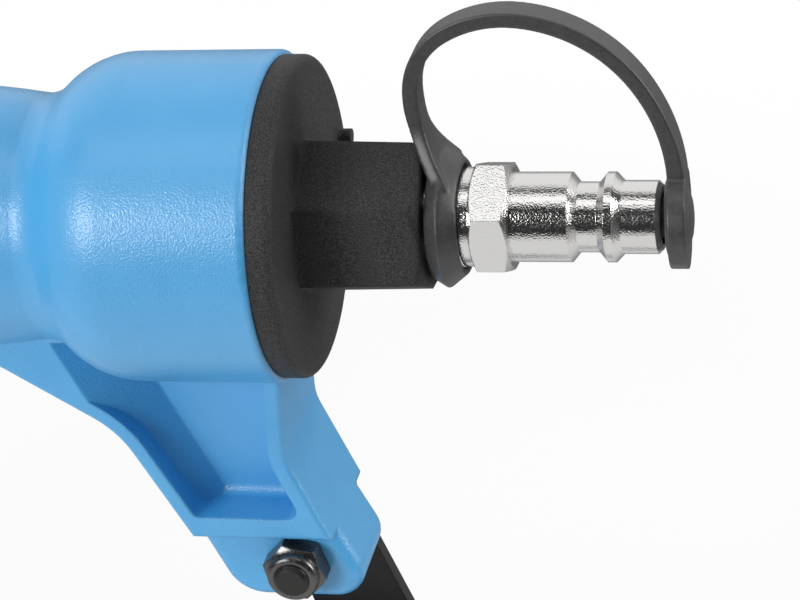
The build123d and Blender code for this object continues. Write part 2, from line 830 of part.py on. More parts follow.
cap_screws = socket_screws(
    [level(x, y, cap_z + cap_plate_thickness) for x, y in cap_screw_places],
    m5_d,
    m5_head_d,
    m5_head_height,
    cap_plate_thickness + gasket_thickness + flange_thickness - 1,
)
cap_screws.label = "cap_screws"
export_step(cap_screws, "parts/cap_screws.step")

# Exhaust deflector: an inverted cup with a side window, free to turn on its centre screw
deflector_z = cap_top_z + slip
deflector_top_z = deflector_z + deflector_height
deflector_r = deflector_d / 2
with BuildPart() as exhaust_deflector:
    with BuildSketch(Plane.XZ):
        with BuildLine():
            Polyline(
                (m5_d / 2 + slide_gap, deflector_z),
                (deflector_hub_d / 2, deflector_z),
                (deflector_hub_d / 2, deflector_top_z - deflector_wall),
                (deflector_r - deflector_wall, deflector_top_z - deflector_wall),
                (deflector_r - deflector_wall, deflector_z),
                (deflector_r, deflector_z),
                (deflector_r, deflector_top_z),
                (m5_d / 2 + slide_gap, deflector_top_z),
                close=True,
            )
        make_face()
    revolve(axis=Axis.Z)
    fillet(exhaust_deflector.edges().group_by(Axis.Z)[-1].sort_by(SortBy.LENGTH)[-1], radius=deflector_edge_r)
    with BuildSketch(Plane.XY.offset(deflector_z)):
        with Locations((-deflector_r, 0)):
            Rectangle(2 * (deflector_r - deflector_hub_d / 2 - deflector_wall), deflector_window)
    extrude(amount=deflector_height - 2 * deflector_wall, mode=Mode.SUBTRACT)
exhaust_deflector.part.label = "exhaust_deflector"
export_step(exhaust_deflector.part, "parts/exhaust_deflector.step")

deflector_screw = socket_screws(
    [level(0, 0, deflector_top_z + slip)],
    m5_d,
    deflector_hub_d,
    m4_head_height,
    deflector_height + 2 * slip + cap_top_z - stem_bore_top_z - 2,
)
deflector_screw.label = "deflector_screw"
export_step(deflector_screw, "parts/deflector_screw.step")

# Grip sleeve: a rubber skin that follows the handle's ovals
with BuildPart() as grip_sleeve:
    for x, half_width, half_height in handle_ovals:
        with BuildSketch(across(x)):
            Ellipse(half_width + grip_thickness, half_height + grip_thickness)
    loft()
    for x, half_width, half_height in handle_ovals:
        with BuildSketch(across(x)):
            Ellipse(half_width + slip, half_height + slip)
    loft(mode=Mode.SUBTRACT)
    with BuildSketch(across(grip_front_x)):
        Rectangle(2 * barrel_d, 2 * barrel_d)
    extrude(amount=arm_start_x - grip_rear_gap - grip_front_x, mode=Mode.INTERSECT)
grip_sleeve.part.label = "grip_sleeve"
export_step(grip_sleeve.part, "parts/grip_sleeve.step")

# End cap: spigot and flange turned as one, a drafted hexagon boss, and the bore that takes the plug
boss_end_flats = hex_boss_flats - 2 * hex_boss_length * tan(radians(hex_boss_draft))
with BuildPart() as end_cap:
    with BuildSketch(rear_side) as cap_profile:
        with BuildLine():
            Polyline(
                (-spigot_length, 0),
                (-spigot_length, spigot_d / 2),
                (0, spigot_d / 2),
                (0, cap_disc_d / 2),
                (cap_disc_thickness, cap_disc_d / 2),
                (cap_disc_thickness, 0),
                close=True,
            )
        make_face()
        rim = cap_profile.vertices().sort_by_distance((cap_disc_thickness, cap_disc_d / 2))[0]
        fillet(rim, radius=cap_disc_edge_r)
    revolve(axis=handle_axis)
    with BuildSketch(across(bell_end_x + cap_disc_thickness)):
        RegularPolygon(radius=hex_boss_flats / 2, side_count=6, major_radius=False, rotation=-hex_boss_turn)
    extrude(amount=hex_boss_length, taper=hex_boss_draft)
    add(hex_bevel(across(bell_end_x + boss_end), boss_end_flats), mode=Mode.SUBTRACT)
    with BuildSketch(across(bell_end_x + cap_disc_thickness)):
        with PolarLocations(cap_stop_radius, 1, start_angle=cap_stop_turn):
            Circle(cap_stop_d / 2)
    extrude(amount=cap_stop_height)
    with BuildSketch(rear_side):
        with Locations((-spigot_length / 2, spigot_d / 2)):
            Rectangle(o_ring_d + 2 * slip, 2 * (o_ring_d + slip))
    revolve(axis=handle_axis, mode=Mode.SUBTRACT)
    round_hole(across(bell_end_x + boss_end), plug_thread_d / 2 + slip, plug_thread_length)
    round_hole(across(bell_end_x + boss_end), air_passage_d / 2, boss_end + spigot_length)
end_cap.part.label = "end_cap"
export_step(end_cap.part, "parts/end_cap.step")

end_cap_o_ring = o_ring(across(bell_end_x - spigot_length / 2), (spigot_d + slip) / 2, o_ring_d)
end_cap_o_ring.label = "end_cap_o_ring"
export_step(end_cap_o_ring, "parts/end_cap_o_ring.step")

# Air plug: thread and neck, hexagon, body, snap groove, collar and tip, bored through
plug_start = boss_end - plug_thread_length
plug_hex_x = boss_end + plug_neck_length
plug_body_x = plug_hex_x + plug_hex_length
plug_groove_x = plug_body_x + plug_body_length + plug_cone_length
plug_collar_x = plug_groove_x + plug_groove_length + plug_cone_length
plug_tip_x = plug_collar_x + plug_collar_length + plug_cone_length
plug_end = plug_tip_x + plug_tip_length
with BuildPart() as air_plug:
    with BuildSketch(rear_side):
        with BuildLine():
            Polyline(
                (plug_start, 0),
                (plug_start, plug_thread_d / 2),
                (plug_hex_x + plug_hex_length / 2, plug_thread_d / 2),
                (plug_hex_x + plug_hex_length / 2, plug_body_d / 2),
                (plug_body_x + plug_body_length, plug_body_d / 2),
                (plug_groove_x, plug_groove_d / 2),
                (plug_groove_x + plug_groove_length, plug_groove_d / 2),
                (plug_collar_x, plug_body_d / 2),
                (plug_collar_x + plug_collar_length, plug_body_d / 2),
                (plug_tip_x, plug_tip_d / 2),
                (plug_end - plug_chamfer, plug_tip_d / 2),
                (plug_end, plug_tip_d / 2 - plug_chamfer),
                (plug_end, 0),
                close=True,
            )
        make_face()
    revolve(axis=handle_axis)
    with BuildSketch(across(bell_end_x + plug_hex_x)):
        RegularPolygon(radius=plug_hex_flats / 2, side_count=6, major_radius=False, rotation=-plug_hex_turn)
    extrude(amount=plug_hex_length)
    add(hex_bevel(across(bell_end_x + plug_body_x), plug_hex_flats), mode=Mode.SUBTRACT)
    hex_back = Plane(origin=(bell_end_x + plug_hex_x, 0, handle_z), z_dir=(-1, 0, 0))
    add(hex_bevel(hex_back, plug_hex_flats), mode=Mode.SUBTRACT)
    round_hole(across(bell_end_x + plug_end), plug_bore_d / 2, plug_end - plug_start)
air_plug.part.label = "air_plug"
export_step(air_plug.part, "parts/air_plug.step")

# Dust cap strap: a coned ring on the plug's neck, and the flat strap swept over the plug
ring_x = boss_end + dust_ring_gap
lean = radians(strap_lean)
with BuildLine(rear_side) as strap_path:
    root = JernArc(
        start=(ring_x + strap_thickness / 2 + 2 * slip, strap_root_z),
        tangent=rear_side.x_dir * cos(lean) + rear_side.y_dir * sin(lean),
        radius=strap_root_r,
        arc_size=-strap_root_turn,
    )
    heel = JernArc(start=root @ 1, tangent=root % 1, radius=strap_heel_r, arc_size=-strap_heel_turn)
    top = JernArc(start=heel @ 1, tangent=heel % 1, radius=strap_top_r, arc_size=-strap_top_turn)
    fall = JernArc(start=top @ 1, tangent=top % 1, radius=strap_fall_r, arc_size=-strap_fall_turn)
    tail = JernArc(start=fall @ 1, tangent=fall % 1, radius=strap_tail_r, arc_size=-strap_tail_turn)

flare_mid = strap_flare_run / 2 / root.length
flare_plane = Plane(origin=root @ flare_mid, x_dir=(0, 1, 0), z_dir=Vector(0, 1, 0).cross(root % flare_mid))

with BuildPart() as dust_cap_strap:
    with BuildSketch(Plane(origin=root @ 0, x_dir=(0, 1, 0), z_dir=root % 0)):
        Rectangle(strap_width, strap_thickness)
    sweep(path=strap_path.line)
    with BuildSketch(flare_plane):
        with BuildLine():
            wide, narrow = strap_root_width / 2, strap_width / 2
            Line((-wide, -strap_flare_run / 2), (wide, -strap_flare_run / 2))
            for side in (-1, 1):
                TangentArc(
                    (side * narrow, strap_flare_run / 2),
                    (side * wide, -strap_flare_run / 2),
                    tangent=(0, -1),
                )
            Line((-narrow, strap_flare_run / 2), (narrow, strap_flare_run / 2))
        make_face()
    extrude(amount=strap_thickness / 2, both=True)
    with BuildSketch(rear_side):
        with BuildLine():
            Polyline(
                (ring_x, 0),
                (ring_x, dust_ring_back_d / 2),
                (ring_x + dust_ring_ridge_x, dust_ring_ridge_d / 2),
                (ring_x + dust_ring_depth, dust_ring_hole_d / 2 + dust_ring_wall),
                (ring_x + dust_ring_depth, 0),
                close=True,
            )
        make_face()
    revolve(axis=handle_axis)
    round_hole(across(bell_end_x + plug_hex_x), dust_ring_hole_d / 2, plug_neck_length)
dust_cap_strap.part.label = "dust_cap_strap"
export_step(dust_cap_strap.part, "parts/dust_cap_strap.step")

# Dust cap plug: the strap's last bend, a round button with a domed face, and the plug in the bore
limb_turn = 90 + strap_lean - strap_root_turn - strap_heel_turn - strap_top_turn - strap_fall_turn - strap_tail_turn
with BuildLine(rear_side) as limb_path:
    bend = JernArc(start=(tail @ 1) + (tail % 1) * slide_gap, tangent=tail % 1, radius=limb_r, arc_size=-limb_turn)
    Line(bend @ 1, Vector((bend @ 1).X, 0, handle_z))
button_mid = (bend @ 1).X
button_back = button_mid - button_thickness / 2
button_face = button_mid + button_thickness / 2
shoulder_x = bell_end_x + plug_end + slip
dome_x = button_face - bell_end_x
dome_r = (dome_d**2 / 4 + dome_height**2) / (2 * dome_height)
with BuildPart() as dust_cap_plug:
    with BuildSketch(Plane(origin=bend @ 0, x_dir=(0, 1, 0), z_dir=bend % 0)):
        Rectangle(strap_width, strap_thickness)
    sweep(path=limb_path.line)
    with BuildSketch(across(button_back)):
        Circle(button_d / 2)
    extrude(amount=button_thickness)
    with BuildSketch(across(shoulder_x)):
        Circle(button_shoulder_d / 2)
    extrude(amount=button_mid - shoulder_x)
    with BuildSketch(across(shoulder_x)):
        Circle(dust_plug_d / 2)
    extrude(amount=-dust_plug_length)
    with BuildSketch(rear_side):
        with BuildLine():
            Polyline((dome_x + dome_height, 0), (dome_x, 0), (dome_x, dome_d / 2))
            ThreePointArc(
                (dome_x, dome_d / 2),
                (dome_x + dome_height - dome_r + sqrt(dome_r**2 - dome_d**2 / 16), dome_d / 4),
                (dome_x + dome_height, 0),
            )
        make_face()
    revolve(axis=handle_axis)
dust_cap_plug.part.label = "dust_cap_plug"
export_step(dust_cap_plug.part, "parts/dust_cap_plug.step")

# Hanger plate: an angle that leans down the lug's far side to a foot screwed on the magazine's roof
hanger_bolt_x = bell_end_x + bolt_x
hanger_drop = (bolt_z - channel_top_z) / sin(radians(hanger_lean))
hanger_foot_x = hanger_bolt_x + hanger_drop * cos(radians(hanger_lean))
hanger_foot_half = hanger_half_width / sin(radians(hanger_lean))
hanger_screw_places = [
    hanger_foot_x - hanger_foot_front + m4_head_d * 0.57,
    hanger_foot_x + hanger_foot_rear - m4_head_d * 0.57,
]
with BuildPart() as hanger_plate:
    with BuildSketch(Plane.XZ.offset(-lug_half_width)) as hanger_outline:
        with BuildLine():
            top_x = hanger_bolt_x - hanger_top_margin / tan(radians(hanger_lean))
            Polyline(
                (top_x - hanger_foot_half, bolt_z + hanger_top_margin),
                (top_x + hanger_foot_half, bolt_z + hanger_top_margin),
                (hanger_foot_x + hanger_foot_half, channel_top_z),
                (hanger_foot_x - hanger_foot_half, channel_top_z),
                close=True,
            )
        make_face()
        fillet(hanger_outline.vertices().group_by(Axis.Y)[-1], radius=hanger_corner_r)
    extrude(amount=-hanger_thickness)
    with BuildSketch(Plane.XY.offset(channel_top_z)):
        with Locations((hanger_foot_x - hanger_foot_front, -channel_outer)):
            Rectangle(
                hanger_foot_front + hanger_foot_rear,
                channel_outer + arm_half_width,
                align=(Align.MIN, Align.MIN),
            )
        with Locations(*[(x, 0) for x in hanger_screw_places]):
            Circle(m4_d / 2 + slip, mode=Mode.SUBTRACT)
    extrude(amount=hanger_foot_thickness)
    with BuildSketch(Plane.XZ):
        with Locations((hanger_bolt_x, bolt_z)):
            Circle(bolt_d / 2 + slip)
    extrude(amount=-arm_half_width, mode=Mode.SUBTRACT)
hanger_plate.part.label = "hanger_plate"
export_step(hanger_plate.part, "parts/hanger_plate.step")

# Hanger bolt through plate and lug, and its lock nut on the lug's near side
bolt_plane = Plane(origin=(hanger_bolt_x, 0, bolt_z), x_dir=(1, 0, 0), z_dir=(0, -1, 0))
with BuildPart() as hanger_bolt:
    with BuildSketch(bolt_plane.offset(-arm_half_width)):
        RegularPolygon(radius=bolt_head_flats / 2, side_count=6, major_radius=False)
    extrude(amount=-bolt_head_height)
    head_face = Plane(origin=(hanger_bolt_x, arm_half_width + bolt_head_height, bolt_z), z_dir=(0, 1, 0))
    add(hex_bevel(head_face, bolt_head_flats), mode=Mode.SUBTRACT)
    with BuildSketch(bolt_plane.offset(-arm_half_width)):
        Circle(bolt_d / 2)
    extrude(amount=arm_half_width + lug_half_width + nut_height + bolt_end_proud)
    chamfer(hanger_bolt.edges().group_by(Axis.Y)[0], length=bolt_d * 0.1)
hanger_bolt.part.label = "hanger_bolt"
export_step(hanger_bolt.part, "parts/hanger_bolt.step")

with BuildPart() as hanger_nut:
    with BuildSketch(bolt_plane.offset(lug_half_width)):
        RegularPolygon(radius=bolt_head_flats / 2, side_count=6, major_radius=False, rotation=nut_turn)
    extrude(amount=nut_hex_height)
    add(hex_bevel(bolt_plane.offset(lug_half_width + nut_hex_height), bolt_head_flats), mode=Mode.SUBTRACT)
    with BuildSketch(bolt_plane.offset(lug_half_width)):
        Circle(bolt_head_flats * 0.46)
    extrude(amount=nut_height)
    fillet(hanger_nut.edges().group_by(Axis.Y)[0], radius=nut_collar_r)
    round_hole(bolt_plane.offset(lug_half_width + nut_height), bolt_d / 2, nut_height)
hanger_nut.part.label = "hanger_nut"
export_step(hanger_nut.part, "parts/hanger_nut.step")


def nose_points(top_z):
    """Front view of the nose, from its narrow tip up to the given level."""
    shoulder_z = nose_tip_z + nose_tip_height
    half = [
        (nose_tip_half_width, nose_tip_z),
        (nose_tip_half_width, shoulder_z),
        (nose_half_width, shoulder_z + nose_taper_height),
        (nose_half_width, top_z),
    ]
    return half + [(-y, z) for y, z in reversed(half)]


# Nose body: driver channel in its front face, feed window behind it, flange above and ears behind
plate_back_x = -slot_depth / 2
plate_front_x = plate_back_x - front_plate_thickness
flange_under_z = deck_z - nose_flange_thickness
ear_x = nose_back_x + nose_ear_length / 2
ear_z = (channel_bottom_z + channel_top_z) / 2
front_screw_places = [
    (side * front_screw_spread / 2, z) for side in (-1, 1) for z in (front_screw_low_z, front_screw_high_z)
]
with BuildPart() as nose_body:
    with BuildSketch(across(plate_back_x, 0)):
        with BuildLine():
            Polyline(*nose_points(deck_z), close=True)
        make_face()
    extrude(amount=nose_back_x - plate_back_x)
    with BuildSketch(Plane.XY.offset(deck_z)):
        with Locations(((nose_flange_rear - nose_flange_front) / 2, 0)):
            RectangleRounded(nose_flange_rear + nose_flange_front, 2 * nose_half_width, nose_flange_corner_r)
    extrude(amount=-nose_flange_thickness)
    for side in (-1, 1):
        with BuildSketch(Plane.XZ.offset(side * (channel_outer + slip))):
            with Locations((nose_back_x, ear_z)):
                Rectangle(nose_ear_length, nose_ear_height, align=(Align.MIN, Align.CENTER))
        extrude(amount=side * nose_ear_thickness)
    with BuildSketch(Plane.XY.offset(nose_tip_z)):
        Rectangle(slot_depth, slot_width)
    extrude(amount=deck_z - nose_tip_z, mode=Mode.SUBTRACT)
    with BuildSketch(across(0, runner_top_z - slide_gap)):
        Rectangle(2 * channel_inner, crown_z + free + slide_gap - runner_top_z, align=(Align.CENTER, Align.MIN))
    extrude(amount=nose_back_x, mode=Mode.SUBTRACT)
    with BuildSketch(Plane.XZ):
        with Locations((ear_x, ear_z)):
            Circle(m4_d / 2 + slip)
    extrude(amount=nose_half_width, both=True, mode=Mode.SUBTRACT)
    for y, z in front_screw_places:
        with Locations(Plane(origin=(plate_back_x, y, z), z_dir=(-1, 0, 0))):
            Hole(m4_d / 2, screw_bite + slip)
    for side in (-1, 1):
        with Locations(Plane(origin=(guide_screw_x, side * nose_half_width, guide_screw_z), z_dir=(0, side, 0))):
            Hole(m4_d / 2, nose_half_width - channel_inner - free)
    for x, y in nose_screw_places:
        with Locations(Plane(origin=(x, y, flange_under_z), z_dir=(0, 0, -1))):
            CounterBoreHole(m5_d / 2 + slip, m5_head_d / 2 + slip, m5_head_height, nose_flange_thickness)
nose_body.part.label = "nose_body"
export_step(nose_body.part, "parts/nose_body.step")

# Front plate that closes the driver channel, and the screws of the nose
with BuildPart() as nose_front_plate:
    with BuildSketch(across(plate_back_x, 0)):
        with BuildLine():
            Polyline(*nose_points(flange_under_z), close=True)
        make_face()
        with Locations(*front_screw_places):
            Circle(m4_d / 2 + slip, mode=Mode.SUBTRACT)
    extrude(amount=-front_plate_thickness)
    chamfer(nose_front_plate.faces().sort_by(Axis.X)[0].outer_wire().edges(), length=front_plate_thickness * 0.2)
nose_front_plate.part.label = "nose_front_plate"
export_step(nose_front_plate.part, "parts/nose_front_plate.step")

front_plate_screws = socket_screws(
    [Plane(origin=(plate_front_x, y, z), z_dir=(-1, 0, 0)) for y, z in front_screw_places],
    m4_d,
    m4_head_d,
    m4_head_height,
    front_plate_thickness + screw_bite,
)
front_plate_screws.label = "front_plate_screws"
export_step(front_plate_screws, "parts/front_plate_screws.step")

nose_screws = socket_screws(
    [Plane(origin=(x, y, flange_under_z + m5_head_height), z_dir=(0, 0, -1)) for x, y in nose_screw_places],
    m5_d,
    m5_head_d,
    m5_head_height,
    nose_flange_thickness - m5_head_height + screw_bite,
)
nose_screws.label = "nose_screws"
export_step(nose_screws, "parts/nose_screws.step")

# Contact foot: a bent stirrup with a toe plate round the nose tip, two cheeks and a rear bridge
foot_rear_x = foot_front_x + foot_length
toe_front_x = plate_front_x - free - foot_bar
bridge_rear_x = rod_x + bridge_length / 2
with BuildPart() as contact_foot:
    for side in (-1, 1):
        with BuildSketch(Plane.XZ.offset(side * foot_inner)) as cheek:
            with BuildLine():
                Polyline(
                    (foot_front_x, 0),
                    (foot_rear_x, 0),
                    (foot_rear_x, bridge_top_z - foot_arm_height),
                    (bridge_rear_x, bridge_top_z - foot_arm_height),
                    (bridge_rear_x, bridge_top_z),
                    (foot_front_x, bridge_top_z),
                    close=True,
                )
            make_face()
            inside = cheek.vertices().sort_by_distance((foot_rear_x, bridge_top_z - foot_arm_height))[0]
            front_top = cheek.vertices().sort_by_distance((foot_front_x, bridge_top_z))[0]
            fillet([inside, front_top], radius=foot_corner_r)
            with Locations((guide_screw_x, guide_screw_z - foot_travel / 2)):
                SlotCenterToCenter(foot_travel, m4_d + 2 * slide_gap, rotation=90, mode=Mode.SUBTRACT)
        extrude(amount=side * foot_sheet)
    with BuildSketch(Plane.XY) as toe_plate:
        with Locations((toe_front_x, 0)):
            Rectangle(foot_rear_x - toe_front_x, 2 * foot_outer, align=(Align.MIN, Align.CENTER))
        fillet(toe_plate.vertices().group_by(Axis.X)[0], radius=foot_corner_r)
        with Locations((plate_front_x - free, 0)):
            Rectangle(
                foot_rear_x - plate_front_x + foot_length,
                2 * (nose_tip_half_width + free),
                align=(Align.MIN, Align.CENTER),
                mode=Mode.SUBTRACT,
            )
    extrude(amount=foot_toe_height)
    with BuildSketch(Plane.XY.offset(bridge_z)):
        with Locations((rod_x, 0)):
            Rectangle(bridge_length, 2 * foot_outer)
            Circle(rod_d / 2 + slip, mode=Mode.SUBTRACT)
    extrude(amount=bridge_thickness)
contact_foot.part.label = "contact_foot"
export_step(contact_foot.part, "parts/contact_foot.step")

foot_guide_screws = socket_screws(
    [
        Plane(origin=(guide_screw_x, side * (foot_outer + free / 2), guide_screw_z), z_dir=(0, side, 0))
        for side in (-1, 1)
    ],
    m4_d,
    m4_head_d,
    m4_head_height,
    foot_outer + free / 2 - nose_half_width + screw_bite,
)
foot_guide_screws.label = "foot_guide_screws"
export_step(foot_guide_screws, "parts/foot_guide_screws.step")

# Push rod from the foot's bridge up to the trip lever, and the spring round it
with BuildPart() as push_rod:
    with BuildSketch(level(rod_x, 0, bridge_z)):
        Circle(rod_d / 2)
    extrude(amount=rod_top_z - bridge_z)
    fillet(push_rod.edges().group_by(Axis.Z)[-1], radius=rod_d * 0.2)
push_rod.part.label = "push_rod"
export_step(push_rod.part, "parts/push_rod.step")

contact_spring = coil_spring(
    level(rod_x, 0, bridge_top_z), contact_turns, contact_wire, contact_mean_d, rod_lug_z - bridge_top_z
)
contact_spring.label = "contact_spring"
export_step(contact_spring, "parts/contact_spring.step")

# Trigger: two cheeks joined by a scooped finger web and a rear wall
trigger_rear_x = trigger_x + trigger_reach
web_front_x = rod_x + rod_d / 2 + 2 * trigger_sheet
finger_z = lever_pin_z - lever_pin_d - slide_gap - trigger_web - trigger_scoop
finger_mid_x = (web_front_x + trigger_rear_x) / 2
hub_out = trigger_hub_r * sin(radians(45))
with BuildPart() as trigger:
    with BuildSketch(Plane.XZ):
        with BuildLine():
            Polyline(
                (trigger_rear_x, finger_z),
                (trigger_rear_x, lever_top_z - lever_thickness),
                (web_front_x, lever_top_z),
                (trigger_x + hub_out, trigger_z + hub_out),
                (trigger_x - hub_out, trigger_z - hub_out),
                (web_front_x, finger_z + trigger_scoop),
            )
            ThreePointArc(
                (web_front_x, finger_z + trigger_scoop),
                (finger_mid_x, finger_z + trigger_scoop),
                (trigger_rear_x, finger_z),
            )
        make_face()
        with Locations((trigger_x, trigger_z)):
            Circle(trigger_hub_r)
    extrude(amount=trigger_half_width, both=True)
    with BuildSketch(Plane.XZ):
        with BuildLine():
            Polyline(
                (trigger_rear_x - trigger_wall, finger_z + trigger_web),
                (trigger_rear_x - trigger_wall, handle_z),
                (trigger_x - 2 * trigger_hub_r, handle_z),
                (trigger_x - 2 * trigger_hub_r, finger_z - trigger_web),
                (web_front_x, finger_z - trigger_web),
                (web_front_x, finger_z + trigger_scoop + trigger_web),
            )
            ThreePointArc(
                (web_front_x, finger_z + trigger_scoop + trigger_web),
                (finger_mid_x, finger_z + trigger_scoop + trigger_web),
                (trigger_rear_x - trigger_wall, finger_z + trigger_web),
            )
        make_face()
    extrude(amount=trigger_half_width - trigger_sheet, both=True, mode=Mode.SUBTRACT)
    with BuildSketch(Plane.XZ):
        with Locations((trigger_x, trigger_z)):
            Circle(trigger_pin_d / 2 + run)
        with Locations((lever_pin_x, lever_pin_z)):
            Circle(lever_pin_d / 2)
    extrude(amount=trigger_half_width, both=True, mode=Mode.SUBTRACT)
trigger.part.label = "trigger"
export_step(trigger.part, "parts/trigger.step")

with BuildPart() as trigger_pin:
    with BuildSketch(Plane.XZ):
        with Locations((trigger_x, trigger_z)):
            Circle(trigger_pin_d / 2)
    extrude(amount=trigger_half_width + free + ear_thickness, both=True)
trigger_pin.part.label = "trigger_pin"
export_step(trigger_pin.part, "parts/trigger_pin.step")

# Trip lever in the trigger: the push rod lifts its front end and it then reaches the valve stem
with BuildPart() as trip_lever:
    with BuildSketch(Plane.XZ):
        with Locations((rod_x - rod_d * 0.6, lever_top_z)):
            Rectangle(
                lever_pin_x + lever_pin_d - rod_x + rod_d * 0.6, lever_thickness, align=(Align.MIN, Align.MAX)
            )
        with Locations((lever_pin_x, lever_pin_z)):
            Circle(lever_pin_d)
            Circle(lever_pin_d / 2 + run, mode=Mode.SUBTRACT)
    extrude(amount=lever_half_width, both=True)
trip_lever.part.label = "trip_lever"
export_step(trip_lever.part, "parts/trip_lever.step")

with BuildPart() as trip_lever_pin:
    with BuildSketch(Plane.XZ):
        with Locations((lever_pin_x, lever_pin_z)):
            Circle(lever_pin_d / 2)
    extrude(amount=trigger_half_width, both=True)
trip_lever_pin.part.label = "trip_lever_pin"
export_step(trip_lever_pin.part, "parts/trip_lever_pin.step")

# Trigger valve: a sleeve pinned into the boss, its cap, the stem, the spring and two seals
valve_top = valve_boss_z + valve_length
cavity_r = valve_d / 2 - valve_wall
valve_seal_levels = [valve_boss_z + valve_pin_rise + side * (valve_pin_d + o_ring_d / 2) for side in (-1, 1)]
with BuildPart() as trigger_valve_body:
    with BuildSketch(level(valve_x, 0, valve_boss_z)):
        Circle(valve_d / 2)
    extrude(amount=valve_length)
    round_hole(level(valve_x, 0, valve_top), cavity_r, valve_length - valve_floor)
    round_hole(level(valve_x, 0, valve_top), stem_d / 2 + run, valve_length)
    for seal_z in valve_seal_levels:
        with BuildSketch(Plane.XZ):
            with Locations((valve_x + valve_d / 2, seal_z)):
                Rectangle(2 * (o_ring_d + slip), o_ring_d + 2 * slip)
        revolve(axis=Axis((valve_x, 0, 0), (0, 0, 1)), mode=Mode.SUBTRACT)
    with BuildSketch(Plane.XZ):
        with Locations((valve_x + valve_d / 2, valve_boss_z + valve_pin_rise)):
            Circle(valve_pin_d / 2 + slip)
    extrude(amount=valve_d, both=True, mode=Mode.SUBTRACT)
trigger_valve_body.part.label = "trigger_valve_body"
export_step(trigger_valve_body.part, "parts/trigger_valve_body.step")

with BuildPart() as valve_o_rings:
    for seal_z in valve_seal_levels:
        add(o_ring(level(valve_x, 0, seal_z), (valve_d + slip) / 2, o_ring_d))
valve_o_rings.part.label = "valve_o_rings"
export_step(valve_o_rings.part, "parts/valve_o_rings.step")

with BuildPart() as valve_pin:
    with BuildSketch(Plane.XZ):
        with Locations((valve_x + valve_d / 2, valve_boss_z + valve_pin_rise)):
            Circle(valve_pin_d / 2)
    extrude(amount=sqrt(valve_boss_d**2 - valve_d**2) / 2 - free, both=True)
valve_pin.part.label = "valve_pin"
export_step(valve_pin.part, "parts/valve_pin.step")

with BuildPart() as trigger_valve_cap:
    with BuildSketch(level(valve_x, 0, valve_top)):
        Circle(cavity_r - slip)
        Circle(stem_guide_d / 2 + run, mode=Mode.SUBTRACT)
    extrude(amount=-valve_cap_thickness)
trigger_valve_cap.part.label = "trigger_valve_cap"
export_step(trigger_valve_cap.part, "parts/trigger_valve_cap.step")

poppet_z = valve_boss_z + valve_floor
poppet_top_z = poppet_z + stem_poppet_height
with BuildPart() as valve_stem:
    with BuildSketch(level(valve_x, 0, stem_tip_z)):
        Circle(stem_d / 2)
    extrude(amount=poppet_z - stem_tip_z)
    with BuildSketch(level(valve_x, 0, poppet_z)):
        Circle(stem_poppet_d / 2)
    extrude(amount=stem_poppet_height)
    with BuildSketch(level(valve_x, 0, poppet_top_z)):
        Circle(stem_guide_d / 2)
    extrude(amount=valve_top - poppet_top_z)
valve_stem.part.label = "valve_stem"
export_step(valve_stem.part, "parts/valve_stem.step")

valve_spring = coil_spring(
    level(valve_x, 0, poppet_top_z), valve_turns, valve_wire, valve_mean_d, valve_top - valve_cap_thickness - poppet_top_z
)
valve_spring.label = "valve_spring"
export_step(valve_spring, "parts/valve_spring.step")

# Magazine channel: an inverted trough with runner grooves low in its walls and a catch on its roof
catch_x = channel_end_x - catch_inset - catch_length
with BuildPart() as magazine_channel:
    with BuildSketch(across(nose_back_x, channel_bottom_z)):
        Rectangle(2 * channel_outer, channel_top_z - channel_bottom_z, align=(Align.CENTER, Align.MIN))
        Rectangle(
            2 * channel_inner, roof_z - channel_bottom_z, align=(Align.CENTER, Align.MIN), mode=Mode.SUBTRACT
        )
        with Locations((0, channel_lip)):
            Rectangle(
                2 * (channel_inner + runner_depth),
                runner_height + 2 * slide_gap,
                align=(Align.CENTER, Align.MIN),
                mode=Mode.SUBTRACT,
            )
    extrude(amount=channel_end_x - nose_back_x)
    with BuildSketch(Plane.XY.offset(channel_top_z)):
        with Locations((catch_x, 0)):
            Rectangle(catch_length, 2 * catch_half_width, align=(Align.MIN, Align.CENTER))
    extrude(amount=catch_height)
    with BuildSketch(Plane.XZ):
        with Locations((ear_x, ear_z)):
            Circle(m4_d / 2)
    extrude(amount=channel_outer, both=True, mode=Mode.SUBTRACT)
    for x in hanger_screw_places:
        round_hole(level(x, 0, channel_top_z), m4_d / 2, channel_wall)
magazine_channel.part.label = "magazine_channel"
export_step(magazine_channel.part, "parts/magazine_channel.step")

magazine_screws = socket_screws(
    [
        Plane(origin=(ear_x, side * (channel_outer + slip + nose_ear_thickness), ear_z), z_dir=(0, side, 0))
        for side in (-1, 1)
    ],
    m4_d,
    m4_head_d,
    m4_head_height,
    nose_ear_thickness + slip + channel_wall - free,
)
magazine_screws.label = "magazine_screws"
export_step(magazine_screws, "parts/magazine_screws.step")

hanger_screws = socket_screws(
    [level(x, 0, channel_top_z + hanger_foot_thickness) for x in hanger_screw_places],
    m4_d,
    m4_head_d,
    m4_head_height,
    hanger_foot_thickness + channel_wall - free,
)
hanger_screws.label = "hanger_screws"
export_step(hanger_screws, "parts/hanger_screws.step")

